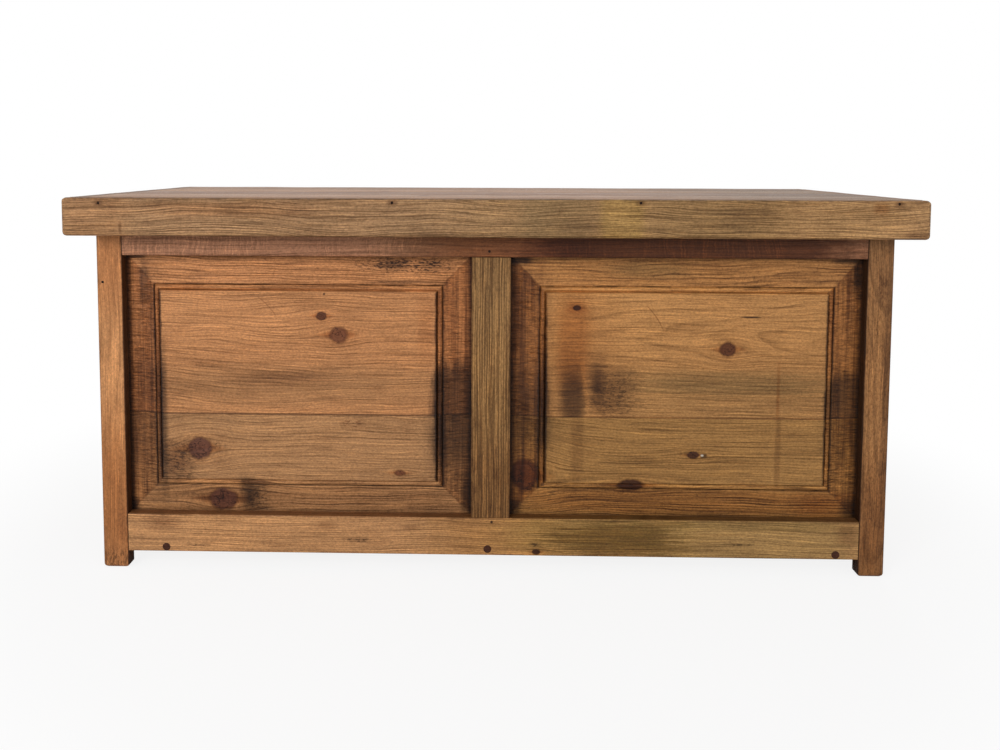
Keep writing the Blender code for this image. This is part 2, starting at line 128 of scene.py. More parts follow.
AXES = "XYZ"
PLACES = ("left", "middle", "right")


class Tree:
    """The node tree of a material or of a group, with short ways to add nodes to it."""

    def __init__(self, tree):
        self.tree = tree

    def add(self, kind, **settings):
        node = self.tree.nodes.new(kind)
        for name, value in settings.items():
            setattr(node, name, value)
        return node

    def put(self, value, socket):
        if isinstance(value, bpy.types.NodeSocket):
            self.tree.links.new(value, socket)
        elif socket.type == "RGBA":
            socket.default_value = (*value, 1.0)
        else:
            socket.default_value = value

    def calc(self, operation, *values):
        node = self.add("ShaderNodeMath", operation=operation)
        for value, socket in zip(values, node.inputs):
            self.put(value, socket)
        return node.outputs[0]

    def times(self, first, second):
        return self.calc("MULTIPLY", first, second)

    def plus(self, first, second):
        return self.calc("ADD", first, second)

    def minus(self, first, second):
        return self.calc("SUBTRACT", first, second)

    def times_plus(self, first, second, third):
        return self.calc("MULTIPLY_ADD", first, second, third)

    def step(self, value, low, high, start=0.0, end=1.0):
        """A smooth step from start to end as value goes from low to high."""
        node = self.add("ShaderNodeMapRange", interpolation_type="SMOOTHSTEP")
        for part, socket in zip((value, low, high, start, end), node.inputs):
            self.put(part, socket)
        return node.outputs["Result"]

    def line(self, value, middle, core, reach):
        """1 within core of the middle, fading to 0 at reach."""
        away = self.calc("ABSOLUTE", self.minus(value, middle))
        return self.step(away, core, reach, 1.0, 0.0)

    def mix(self, factor, first, second, blend="MIX"):
        node = self.add("ShaderNodeMix", data_type="RGBA", blend_type=blend)
        self.put(factor, node.inputs["Factor"])
        self.put(first, node.inputs[6])
        self.put(second, node.inputs[7])
        return node.outputs[2]

    def noise(self, along, across, depth, scales, detail=2.0, roughness=0.55):
        """Noise with its own scale in each direction, in cycles per metre."""
        point = self.add("ShaderNodeCombineXYZ")
        for value, socket in zip((along, across, depth), point.inputs):
            self.put(value, socket)
        stretch = self.add("ShaderNodeVectorMath", operation="MULTIPLY")
        self.put(point.outputs[0], stretch.inputs[0])
        self.put(scales, stretch.inputs[1])
        cloud = self.add("ShaderNodeTexNoise")
        self.put(stretch.outputs[0], cloud.inputs["Vector"])
        self.put(1.0, cloud.inputs["Scale"])
        self.put(detail, cloud.inputs["Detail"])
        self.put(roughness, cloud.inputs["Roughness"])
        return cloud.outputs[0]

    def use(self, group, **values):
        """Places a group; a value's name has _ for each space of the socket's name."""
        node = self.add("ShaderNodeGroup")
        node.node_tree = group
        for name, value in values.items():
            self.put(value, node.inputs[name.replace("_", " ")])
        return node.outputs


def new_group(name, inputs, outputs):
    """A shader node group of plain values: its tree, its input sockets and its output sockets."""
    group = bpy.data.node_groups.new(name, "ShaderNodeTree")
    for title in inputs:
        group.interface.new_socket(name=title, in_out="INPUT", socket_type="NodeSocketFloat")
    for title in outputs:
        group.interface.new_socket(name=title, in_out="OUTPUT", socket_type="NodeSocketFloat")
    tree = Tree(group)
    return tree, tree.add("NodeGroupInput").outputs, tree.add("NodeGroupOutput").inputs


def pine_grain_group():
    """Growth rings round a heart that wanders along the board, with finer marks along and across them."""
    names = ("Along", "Across", "Depth", "Seed", "Ring width", "Heart across", "Heart depth", "Slope",
             "Wander")
    # The noise of each mark: its scales, detail and roughness, and the values between which the mark shows
    marks = {
        "Streak": ((4.0, 330.0, 330.0), 2.0, 0.6, 0.44, 0.66),
        "Pore": ((9.0, 500.0, 500.0), 1.0, 0.55, 0.53, 0.63),
        "Fleck": ((120.0, 480.0, 480.0), 2.0, 0.6, 0.50, 0.64),
        "Thread": ((10.0, 520.0, 520.0), 2.0, 0.6, 0.54, 0.66),
    }
    textures = {
        "Grit": ((260.0, 440.0, 440.0), 3.0, 0.8),
        "Fibre": ((40.0, 1400.0, 1400.0), 2.0, 0.6),
        "Cloud": ((2.6, 9.0, 9.0), 3.0, 0.55),
        "Mottle": ((22.0, 60.0, 60.0), 5.0, 0.7),
    }
    outputs = ("Late wood", "Tick", *marks, *textures)
    tree, given, made = new_group("Pine grain", names, outputs)
    along, across, depth = given["Along"], given["Across"], given["Depth"]
    seeded = tree.plus(along, given["Seed"])
    sway = tree.minus(tree.noise(seeded, across, depth, (2.2, 6.0, 6.0)), 0.5)
    drift = tree.minus(tree.noise(across, seeded, depth, (6.0, 1.7, 6.0)), 0.5)
    ripple = tree.noise(seeded, across, depth, (10.0, 50.0, 50.0), 2.0)
    bent = tree.times_plus(sway, given["Wander"], across)
    bent = tree.times_plus(ripple, 0.006, bent)
    side = tree.minus(bent, given["Heart across"])
    below = tree.minus(depth, given["Heart depth"])
    below = tree.times_plus(along, given["Slope"], below)
    below = tree.times_plus(drift, given["Wander"], below)
    squared = tree.times_plus(side, side, tree.times(below, below))
    count = tree.calc("DIVIDE", tree.calc("SQRT", squared), given["Ring width"])
    count = tree.times_plus(ripple, 0.9, count)
    turn = tree.calc("FRACT", count)
    late = tree.times(tree.step(turn, 0.40, 0.90), tree.step(turn, 0.92, 1.0, 1.0, 0.0))
    year = tree.add("ShaderNodeTexWhiteNoise", noise_dimensions="1D")
    tree.put(tree.calc("FLOOR", count), year.inputs["W"])
    strength = tree.times_plus(year.outputs["Value"], 0.65, 0.35)
    tree.put(tree.times(late, strength), made["Late wood"])
    ticks = tree.noise(seeded, across, depth, (330.0, 210.0, 210.0), 2.0, 0.7)
    tree.put(tree.step(ticks, 0.54, 0.70), made["Tick"])
    for title, (scales, detail, roughness, low, high) in marks.items():
        mark = tree.noise(seeded, bent, depth, scales, detail, roughness)
        tree.put(tree.step(mark, low, high), made[title])
    for title, (scales, detail, roughness) in textures.items():
        tree.put(tree.noise(seeded, across, depth, scales, detail, roughness), made[title])
    return tree.tree


def knot_group():
    """A knot on the face of a board with tails along the grain, and how far it pushes the grain aside."""
    names = ("Along", "Across", "At along", "At across", "Half length", "Half width", "Seed")
    outputs = ("Mask", "Rim", "Rings", "Heart", "Crack", "Tail", "Push", "Halo")
    tree, given, made = new_group("Knot", names, outputs)
    off_along = tree.minus(given["Along"], given["At along"])
    off_across = tree.minus(given["Across"], given["At across"])
    long_part = tree.calc("DIVIDE", off_along, given["Half length"])
    wide_part = tree.calc("DIVIDE", off_across, given["Half width"])
    uneven = tree.minus(tree.noise(long_part, wide_part, given["Seed"], (1.5, 1.5, 1.0), 4.0, 0.6), 0.5)
    long_square = tree.times(long_part, long_part)
    wide_square = tree.times(wide_part, wide_part)
    reach = tree.calc("SQRT", tree.plus(long_square, wide_square))
    ragged = tree.times_plus(uneven, 0.55, reach)
    mask = tree.step(ragged, 0.82, 1.08, 1.0, 0.0)
    tree.put(mask, made["Mask"])
    cracks = tree.noise(long_part, wide_part, tree.plus(given["Seed"], 5.0), (0.8, 1.3, 1.0), 3.0, 0.6)
    tree.put(tree.times(tree.line(cracks, 0.5, 0.005, 0.022), mask), made["Crack"])
    rim = tree.times(tree.step(ragged, 0.70, 0.98), tree.step(ragged, 1.0, 1.25, 1.0, 0.0))
    tree.put(rim, made["Rim"])
    wave = tree.calc("SINE", tree.times_plus(reach, 19.0, tree.times(uneven, 7.0)))
    tree.put(tree.times_plus(wave, 0.5, 0.5), made["Rings"])
    tree.put(tree.step(tree.times_plus(uneven, 0.5, reach), 0.06, 0.26, 1.0, 0.0), made["Heart"])
    far = tree.calc("ABSOLUTE", long_part)
    room = tree.step(far, 0.6, 2.9, 0.62, 0.02)
    width = tree.times_plus(uneven, 0.5, tree.calc("ABSOLUTE", wide_part))
    tail = tree.step(tree.calc("DIVIDE", width, room), 0.3, 1.0, 1.0, 0.0)
    tree.put(tree.times(tail, tree.step(far, 1.2, 2.9, 1.0, 0.0)), made["Tail"])
    spread = tree.times_plus(wide_square, 0.28, tree.times(long_square, 0.09))
    near = tree.calc("EXPONENT", tree.times(spread, -1.0))
    tree.put(tree.times(tree.times(off_across, near), -0.85), made["Push"])
    tree.put(near, made["Halo"])
    return tree.tree


def tint_patch_group():
    """A soft-edged patch with a broken outline, solid or in specks."""
    names = ("Along", "Across", "At along", "At across", "Half length", "Half width", "Softness", "Break up",
             "Long cuts", "Cross cuts", "Specks", "Seed")
    tree, given, made = new_group("Tint patch", names, ("Mask",))
    parts = []
    for place, middle, half in (("Along", "At along", "Half length"), ("Across", "At across", "Half width")):
        part = tree.calc("DIVIDE", tree.minus(given[place], given[middle]), given[half])
        parts.append(tree.calc("POWER", tree.calc("ABSOLUTE", part), 3.0))
    reach = tree.calc("POWER", tree.plus(*parts), 1 / 3)
    long_cuts = tree.times(given["Along"], given["Long cuts"])
    cross_cuts = tree.times(given["Across"], given["Cross cuts"])
    uneven = tree.noise(long_cuts, cross_cuts, given["Seed"], (1.0, 1.0, 1.0), 4.0, 0.65)
    uneven = tree.times(tree.minus(uneven, 0.5), given["Break up"])
    reach = tree.plus(reach, uneven)
    low = tree.minus(1.0, given["Softness"])
    high = tree.plus(1.0, given["Softness"])
    patch = tree.step(reach, low, high, 1.0, 0.0)
    dots = tree.noise(given["Along"], given["Across"], given["Seed"], (170.0, 420.0, 1.0), 2.0, 0.6)
    dots = tree.step(dots, 0.50, 0.58)
    gaps = tree.times(tree.minus(1.0, dots), given["Specks"])
    tree.put(tree.times(patch, tree.minus(1.0, gaps)), made["Mask"])
    return tree.tree


def scratch_group():
    """A thin bowed scratch from one point to another."""
    names = ("Along", "Across", "Start along", "Start across", "Run along", "Run across", "Bow", "Width")
    tree, given, made = new_group("Scratch", names, ("Mask",))
    off_along = tree.minus(given["Along"], given["Start along"])
    off_across = tree.minus(given["Across"], given["Start across"])
    run_along, run_across = given["Run along"], given["Run across"]
    square = tree.times_plus(run_along, run_along, tree.times(run_across, run_across))
    share = tree.times_plus(off_along, run_along, tree.times(off_across, run_across))
    share = tree.calc("DIVIDE", share, square)
    aside = tree.minus(tree.times(off_along, run_across), tree.times(off_across, run_along))
    aside = tree.calc("DIVIDE", aside, tree.calc("SQRT", square))
    bulge = tree.times(tree.times(share, tree.minus(1.0, share)), 4.0)
    aside = tree.calc("ABSOLUTE", tree.times_plus(bulge, given["Bow"], aside))
    thin = tree.step(aside, tree.times(given["Width"], 0.3), given["Width"], 1.0, 0.0)
    ends = tree.times(tree.step(share, 0.0, 0.12), tree.step(share, 0.75, 1.0, 1.0, 0.0))
    tree.put(tree.times(thin, ends), made["Mask"])
    return tree.tree


def moulding_group():
    """Where a point lies on a raised panel: its upright and level coves, quirks, bead, edge and mitres."""
    names = ("Level", "Up", "Middle level", "Middle up", "Half width", "Half height", "Seed")
    outputs = ("Upright", "Flat", "Upright quirk", "Flat quirk", "Side edge", "End edge", "Bead", "Mitre",
               "Climb")
    tree, given, made = new_group("Panel moulding", names, outputs)
    wobble = tree.noise(given["Level"], given["Up"], given["Seed"], (55.0, 55.0, 1.0), 4.0, 0.65)
    wobble = tree.times(tree.minus(wobble, 0.5), 0.005)
    from_side = tree.calc("ABSOLUTE", tree.minus(given["Level"], given["Middle level"]))
    from_side = tree.minus(given["Half width"], from_side)
    from_end = tree.calc("ABSOLUTE", tree.minus(given["Up"], given["Middle up"]))
    from_end = tree.minus(given["Half height"], from_end)
    lead = tree.minus(from_end, from_side)
    ragged_lead = tree.times_plus(wobble, 2.5, lead)
    on_side = tree.step(ragged_lead, -0.003, 0.003)
    on_end = tree.step(ragged_lead, -0.003, 0.003, 1.0, 0.0)
    upright = tree.step(from_side, MOULDING_WIDTH - 0.001, MOULDING_WIDTH + 0.002, 1.0, 0.0)
    flat = tree.step(from_end, MOULDING_WIDTH - 0.001, MOULDING_WIDTH + 0.002, 1.0, 0.0)
    tree.put(tree.times(on_side, upright), made["Upright"])
    tree.put(tree.times(on_end, flat), made["Flat"])
    ragged_side = tree.plus(from_side, wobble)
    ragged_end = tree.times_plus(wobble, 0.4, from_end)
    broken = tree.noise(given["Level"], given["Up"], given["Seed"], (26.0, 26.0, 2.0), 3.0, 0.7)
    lines = tree.calc("MAXIMUM", tree.line(ragged_side, COVE_WIDTH, 0.0006, 0.0026),
                      tree.line(ragged_side, MOULDING_WIDTH, 0.0010, 0.0034))
    lines = tree.times(lines, tree.step(broken, 0.25, 0.50, 0.35, 1.0))
    tree.put(tree.times(lines, on_side), made["Upright quirk"])
    inner = tree.times(tree.line(ragged_end, MOULDING_WIDTH - QUIRK_RUN, 0.0002, 0.0018), 0.35)
    lines = tree.calc("MAXIMUM", tree.line(ragged_end, COVE_WIDTH + QUIRK_RUN, 0.0004, 0.0020), inner)
    lines = tree.times(lines, tree.step(broken, 0.36, 0.62, 0.20, 1.0))
    tree.put(tree.times(lines, on_end), made["Flat quirk"])
    tree.put(tree.calc("DIVIDE", ragged_side, COVE_WIDTH), made["Climb"])
    tree.put(tree.step(ragged_side, 0.001, 0.008, 1.0, 0.0), made["Side edge"])
    tree.put(tree.step(ragged_end, 0.000, 0.007, 1.0, 0.0), made["End edge"])
    nearest = tree.calc("MINIMUM", from_side, from_end)
    past_cove = tree.step(nearest, COVE_WIDTH, COVE_WIDTH + 0.001)
    before_field = tree.step(nearest, MOULDING_WIDTH - 0.001, MOULDING_WIDTH, 1.0, 0.0)
    tree.put(tree.times(past_cove, before_field), made["Bead"])
    crease = tree.line(tree.plus(lead, wobble), 0.0, 0.0005, 0.0030)
    tree.put(tree.times(crease, tree.step(nearest, 0.030, MOULDING_WIDTH, 1.0, 0.0)), made["Mitre"])
    return tree.tree


def end_grain_group():
    """Rough cuts on an upright cove: fine level scratches and nicks, and dark upright bands and lines."""
    tree, given, made = new_group("End grain", ("Level", "Up", "Seed"), ("Scratch", "Fresh", "Band", "Comb"))

    def rough(scales, detail, roughness, *ramp):
        marks = tree.noise(given["Level"], given["Up"], given["Seed"], scales, detail, roughness)
        return tree.step(marks, *ramp)

    patch = rough((40.0, 16.0, 4.0), 3.0, 0.65, 0.36, 0.60, 0.15, 1.0)
    cuts = rough((42.0, 330.0, 1.0), 5.0, 0.75, 0.48, 0.66)
    nicks = rough((110.0, 460.0, 7.0), 3.0, 0.7, 0.54, 0.66)
    tree.put(tree.times(cuts, patch), made["Scratch"])
    tree.put(tree.times(nicks, patch), made["Fresh"])
    tree.put(rough((90.0, 5.0, 1.0), 4.0, 0.65, 0.42, 0.62), made["Band"])
    tree.put(rough((190.0, 4.5, 3.0), 5.0, 0.75, 0.44, 0.62), made["Comb"])
    return tree.tree


def worn_edge_group():
    """How near a point of a board's face is to the board's edges, with a broken outline."""
    names = ("Along", "Across", "Half length", "Half width", "Reach", "Seed")
    tree, given, made = new_group("Worn edge", names, ("Mask",))
    side = tree.minus(given["Half width"], tree.calc("ABSOLUTE", given["Across"]))
    end = tree.minus(given["Half length"], tree.calc("ABSOLUTE", given["Along"]))
    rough = tree.noise(given["Along"], given["Across"], given["Seed"], (70.0, 70.0, 1.0), 4.0, 0.65)
    rough = tree.times(tree.minus(rough, 0.5), tree.times(given["Reach"], 3.0))
    near = tree.plus(tree.calc("MINIMUM", side, end), rough)
    tree.put(tree.step(near, 0.0, given["Reach"], 1.0, 0.0), made["Mask"])
    return tree.tree


def saw_mark_group():
    """Saw marks that run across a board, dark and pale, in patches."""
    tree, given, made = new_group("Saw marks", ("Along", "Across", "Seed"), ("Dark", "Pale"))
    sway = tree.noise(given["Along"], given["Across"], given["Seed"], (14.0, 25.0, 5.0), 3.0)
    leaning = tree.times_plus(sway, 0.02, given["Along"])
    marks = tree.noise(leaning, given["Across"], given["Seed"], (430.0, 22.0, 1.0), 4.0, 0.75)
    patch = tree.noise(given["Along"], given["Across"], given["Seed"], (9.0, 14.0, 3.0), 3.0)
    patch = tree.step(patch, 0.38, 0.58)
    tree.put(tree.times(tree.step(marks, 0.46, 0.62), patch), made["Dark"])
    tree.put(tree.times(tree.step(marks, 0.36, 0.48, 1.0, 0.0), patch), made["Pale"])
    return tree.tree


grain = pine_grain_group()
knot = knot_group()
tint_patch = tint_patch_group()
scratch = scratch_group()
moulding = moulding_group()
end_grain = end_grain_group()
worn_edge = worn_edge_group()
saw_marks = saw_mark_group()


def scaled(colour, factors):
    return tuple(part * factor for part, factor in zip(colour, factors))


def new_finish(name):
    """A new material: itself, its tree, its shader and the object's coordinates."""
    material = bpy.data.materials.new(name)
    material.use_nodes = True
    tree = Tree(material.node_tree)
    place = tree.add("ShaderNodeSeparateXYZ")
    tree.put(tree.add("ShaderNodeTexCoord").outputs["Object"], place.inputs[0])
    return material, tree, tree.tree.nodes["Principled BSDF"], place.outputs


def emboss(tree, shader, height, strength, distance):
    """Gives a finish its relief."""
    bump = tree.add("ShaderNodeBump")
    bump.inputs["Strength"].default_value = strength
    bump.inputs["Distance"].default_value = distance
    tree.put(height, bump.inputs["Height"])
    tree.put(bump.outputs[0], shader.inputs["Normal"])


class Board:
    """Paints one board: the grain in the board's own directions, then knots, stains and wear, and painted
    shade and painted highlights.
    """

    def __init__(self, node, axes, seed, colour, ring=0.005, heart=(0.0, 0.05), slope=0.0, wander=0.03,
                 contrast=1.0, knots=()):
        low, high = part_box(node)
        self.material, self.tree, self.shader, self.world = new_finish(f"{node}_pine")
        tree = self.tree
        along, across = axes
        depth = next(axis for axis in AXES if axis not in axes)
        self.middle = dict(zip(AXES, (low + high) / 2))
        self.half = dict(zip(AXES, (high - low) / 2))
        self.axes = axes
        self.along, self.across, self.depth = (
            tree.minus(self.world[axis], self.middle[axis]) for axis in (along, across, depth)
        )
        self.seed = seed
        pushed = self.across
        placed_knots = []
        for at_along, at_across, half_length, half_width, tint in knots:
            placed = tree.use(knot, Along=self.along, Across=self.across,
                              At_along=at_along - self.middle[along],
                              At_across=at_across - self.middle[across], Half_length=half_length,
                              Half_width=half_width, Seed=seed + at_along * 7)
            pushed = tree.plus(pushed, placed["Push"])
            placed_knots.append((placed, tint))
        self.grain = tree.use(grain, Along=self.along, Across=pushed, Depth=self.depth, Seed=seed,
                              Ring_width=ring, Heart_across=heart[0], Heart_depth=heart[1], Slope=slope,
                              Wander=wander)
        lines = 0.0
        for mark, weight in LINE_WEIGHTS.items():
            lines = tree.times_plus(self.grain[mark], weight * contrast, lines)
        lines = tree.times_plus(self.grain["Tick"], TICK_WEIGHT, lines)
        cloud = tree.minus(self.grain["Cloud"], 0.5)
        lines = tree.times_plus(cloud, 0.8, lines)
        clamp = tree.add("ShaderNodeClamp")
        tree.put(lines, clamp.inputs["Value"])
        self.lines = clamp.outputs[0]
        self.colour = tree.mix(self.lines, scaled(colour, LIGHT_WOOD), scaled(colour, DARK_WOOD))
        self.paint(tree.step(self.grain["Mottle"], 0.50, 0.72), 0.28 * contrast, UMBER)
        self.paint(tree.step(self.grain["Mottle"], 0.28, 0.48, 1.0, 0.0), 0.30 * contrast, GLOW)
        self.paint(self.grain["Thread"], 0.40, PALE)
        self.smooth = 0.0
        for placed, tint in placed_knots:
            self.paint_knot(placed, tint)
            self.smooth = tree.calc("MAXIMUM", self.smooth, placed["Mask"])
        self.rough_height = None

    def paint_knot(self, placed, tint):
        tree = self.tree
        self.paint(tree.calc("POWER", placed["Halo"], 2.0), 0.30, RUST)
        self.paint(placed["Tail"], 0.70, RUST)
        heartwood = tree.mix(placed["Rings"], scaled(tint, KNOT_LIGHT), scaled(tint, KNOT_SHADE))
        self.colour = tree.mix(tree.times(placed["Mask"], 0.95), self.colour, heartwood)
        self.paint(placed["Rim"], 0.55, UMBER)
        self.paint(placed["Heart"], 0.40, UMBER)
        self.paint(placed["Crack"], 0.80, SOOT_AND_SHADE)

    def paint(self, mask, strength, tint, blend="MULTIPLY"):
        factor = self.tree.times(mask, strength)
        self.colour = self.tree.mix(factor, self.colour, tint, blend)

    def tint_patch(self, at, half, tint, strength=0.8, softness=0.35, break_up=0.5, specks=0.0, cuts=(40.0, 130.0),
              blend="MULTIPLY"):
        """A tinted patch at a place given along and across the board, in metres of the whole object; it
        paints stains and also painted shade and painted highlights.
        """
        along, across = self.axes
        placed = self.tree.use(tint_patch, Along=self.along, Across=self.across,
                               At_along=at[0] - self.middle[along], At_across=at[1] - self.middle[across],
                               Half_length=half[0], Half_width=half[1], Softness=softness, Break_up=break_up,
                               Specks=specks, Long_cuts=cuts[0], Cross_cuts=cuts[1],
                               Seed=self.seed + at[0] * 3 + at[1] * 5)
        self.paint(placed["Mask"], strength, tint, blend)

    def tint_patches(self, *rows):
        """Tinted patches one over the other, each row given as for a single patch."""
        for row in rows:
            self.tint_patch(*row)

    def scratch(self, start, end, tint, strength=0.6, bow=0.0, width=0.0012):
        """A scratch between two places given along and across the board."""
        along, across = self.axes
        placed = self.tree.use(scratch, Along=self.along, Across=self.across,
                               Start_along=start[0] - self.middle[along],
                               Start_across=start[1] - self.middle[across], Run_along=end[0] - start[0],
                               Run_across=end[1] - start[1], Bow=bow, Width=width)
        self.paint(placed["Mask"], strength, tint)

    def edges(self, reach=0.004, strength=0.6, tint=UMBER):
        along, across = self.axes
        placed = self.tree.use(worn_edge, Along=self.along, Across=self.across, Half_length=self.half[along],
                               Half_width=self.half[across], Reach=reach, Seed=self.seed)
        self.paint(placed["Mask"], strength, tint)

    def saw(self, strength):
        placed = self.tree.use(saw_marks, Along=self.along, Across=self.across, Seed=self.seed)
        self.paint(placed["Dark"], 0.6 * strength, UMBER)
        self.paint(placed["Pale"], strength, PALE)

    def beyond(self, axis, start, end, strength, tint, blend="MULTIPLY"):
        """Paints all of the board that lies past a plane, fading in from start to end."""
        flip = start > end
        low, high = sorted((start, end))
        mask = self.tree.step(self.world[axis], low, high, float(flip), float(not flip))
        self.paint(mask, strength, tint, blend)

    def moulded(self, level, middle, half_width, darkness, ridges=1.0):
        """Dark glaze on a raised panel's coves and quirks, darker towards the frame; painted shade with glaze
        along its edges by the frame; a painted highlight on its level beads; and ridged grain on its level
        coves.
        """
        tree = self.tree
        level, up = self.world[level], self.world["Z"]
        placed = tree.use(moulding, Level=level, Up=up, Middle_level=middle, Middle_up=OPENING_MIDDLE,
                          Half_width=half_width, Half_height=OPENING_HALF_HEIGHT, Seed=self.seed)
        rough = tree.use(end_grain, Level=level, Up=up, Seed=self.seed)
        upright, flat = placed["Upright"], placed["Flat"]
        low_cove = tree.step(placed["Climb"], 0.05, 0.45, 1.0, 0.0)
        between_teeth = tree.minus(1.0, rough["Comb"])
        between_lines = tree.minus(1.0, self.lines)
        self.paint(upright, 0.65 * darkness, RUST)
        for mask, strength, tint in (
                (low_cove, 0.45, UMBER), (rough["Band"], 0.85 * darkness, UMBER),
                (rough["Scratch"], 0.75, UMBER), (rough["Comb"], 0.55, UMBER), (between_teeth, 0.25, EMBER),
                (rough["Fresh"], 0.75, PALE), (placed["Bead"], 0.20, PALE)):
            self.paint(tree.times(upright, mask), strength, tint)
        self.paint(flat, 0.15, RUST)
        for mask, strength, tint in (
                (self.lines, 0.60 * ridges, UMBER), (between_lines, 0.35 * ridges, GLOW),
                # painted highlight on the beads of the level coves
                (placed["Bead"], 0.25, GLOW)):
            self.paint(tree.times(flat, mask), strength, tint)
        # the edges by the frame: dark glaze, and painted shade of the recess where the panel meets its frame
        for title, strength, tint in (
                ("Upright quirk", 0.85, SOOT_AND_SHADE), ("Flat quirk", 0.80, SOOT_AND_SHADE), ("Side edge", 0.85, SOOT_AND_SHADE),
                ("End edge", 0.40, SOOT_AND_SHADE), ("Mitre", 0.40, UMBER)):
            self.paint(placed[title], strength, tint)
        self.rough_height = tree.times(upright, rough["Scratch"])

    def finish(self, roughness=0.5, sheen=0.2, relief=0.75):
        """Joins colour, roughness and relief to the shader."""
        tree, shader = self.tree, self.shader
        grit = tree.times(tree.minus(self.grain["Grit"], 0.5), GRIT)
        grit = tree.times_plus(grit, tree.times_plus(self.smooth, -0.7, 1.0), 1.0)
        tree.put(tree.mix(1.0, self.colour, grit, "MULTIPLY"), shader.inputs["Base Color"])
        dull = tree.times_plus(self.lines, 0.16, roughness - 0.06)
        tree.put(dull, shader.inputs["Roughness"])
        shader.inputs["Specular IOR Level"].default_value = sheen
        height = tree.times_plus(self.grain["Fibre"], 0.5, tree.times(self.lines, -0.9))
        if self.rough_height:
            height = tree.times_plus(self.rough_height, -0.8, height)
        emboss(tree, shader, height, relief, WOOD_RELIEF)
        return self.material


def only(piece):
    """Makes a piece the one selected and active object."""
    bpy.ops.object.select_all(action="DESELECT")
    piece.select_set(True)
    bpy.context.view_layer.objects.active = piece


def choose(piece, kind, wanted):
    """In edit mode, selects just the faces or edges that wanted says yes to."""
    mesh = bmesh.from_edit_mesh(piece.data)
    bpy.ops.mesh.select_mode(type="FACE" if kind == "faces" else "EDGE")
    bpy.ops.mesh.select_all(action="DESELECT")
    for item in getattr(mesh, kind):
        if wanted(item):
            item.select_set(True)
    mesh.select_flush_mode()
    bmesh.update_edit_mesh(piece.data)


def rename(piece, name):
    piece.name = name
    piece.data.name = name


def block(name, low, high):
    """A block between two corners, with its place in its mesh."""
    low, high = Vector(low), Vector(high)
    bpy.ops.object.select_all(action="DESELECT")
    bpy.ops.mesh.primitive_cube_add(size=1, location=(low + high) / 2)
    piece = bpy.context.object
    rename(piece, name)
    piece.scale = high - low
    bpy.ops.object.transform_apply(location=True, rotation=True, scale=True)
    return piece


def seat(piece, body, material, replaced=()):
    """Finishes a piece, hangs it on its body and hides the CAD parts that it replaces."""
    piece.data.materials.clear()
    piece.data.materials.append(material)
    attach(piece, body)
    if replaced:
        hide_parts(*replaced)


def dress(name, material):
    """Gives a CAD node its finish."""
    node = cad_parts[name]
    node.data.materials.clear()
    node.data.materials.append(material)


def panel_profile():
    """Steps in and up over a raised panel, from the groove to the field, as (run, rise)."""
    points = [(0.0, 0.0)]
    for count in range(1, COVE_STEPS + 1):
        share = count / COVE_STEPS
        points.append((COVE_WIDTH * share, COVE_RISE * (1 - math.cos(share * math.pi / 2))))
    points.append((COVE_WIDTH + QUIRK_RUN, QUIRK_LOW))
    bead_start = COVE_WIDTH + 2 * QUIRK_RUN
    bead_run = BEAD_WIDTH - 4 * QUIRK_RUN
    for count in range(BEAD_STEPS + 1):
        share = count / BEAD_STEPS
        crown = (BEAD_HIGH - BEAD_LOW) * math.sin(share * math.pi)
        points.append((bead_start + bead_run * share, BEAD_LOW + crown))
    points.append((MOULDING_WIDTH - QUIRK_RUN, BEAD_LOW - QUIRK_RUN))
    points.append((MOULDING_WIDTH, FIELD_RISE - FIELD_ROUND))
    points.append((MOULDING_WIDTH + FIELD_ROUND, FIELD_RISE))
    return [(after[0] - before[0], after[1] - before[1]) for before, after in zip(points, points[1:])]


def raised_panel(name, facing):
    """A raised panel, cut from one blank and sawn into its upper and lower boards."""
    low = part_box(f"{name}_lower")[0]
    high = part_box(f"{name}_upper")[1]
    axis = max(range(3), key=lambda count: abs(facing[count]))
    if facing[axis] < 0:
        low[axis] = high[axis] - PANEL_TONGUE
    else:
        high[axis] = low[axis] + PANEL_TONGUE
    blank = block(f"{name}_blank", low, high)
    bpy.ops.object.mode_set(mode="EDIT")
    choose(blank, "faces", lambda face: face.normal.dot(facing) > 0.9)
    bpy.ops.mesh.inset(thickness=PANEL_LIP, depth=0)
    for run, rise in panel_profile():
        bpy.ops.mesh.inset(thickness=run, depth=rise)
    bpy.ops.object.mode_set(mode="OBJECT")
    for half, upwards in (("upper", 1), ("lower", -1)):
        only(blank)
        bpy.ops.object.duplicate()
        piece = bpy.context.object
        rename(piece, f"{name}_{half}_board")
        bpy.ops.object.mode_set(mode="EDIT")
        bpy.ops.mesh.select_all(action="SELECT")
        cut = (0, 0, GLUE_LINE + upwards * GLUE_GAP)
        bpy.ops.mesh.bisect(plane_co=cut, plane_no=(0, 0, -upwards), use_fill=True, clear_outer=True)
        bpy.ops.object.mode_set(mode="OBJECT")
        bpy.ops.object.shade_smooth_by_angle(angle=SMOOTH_ANGLE)
    bpy.data.objects.remove(blank)


def is_sharp(edge):
    return len(edge.link_faces) == 2 and edge.calc_face_angle() > SHARP_ANGLE


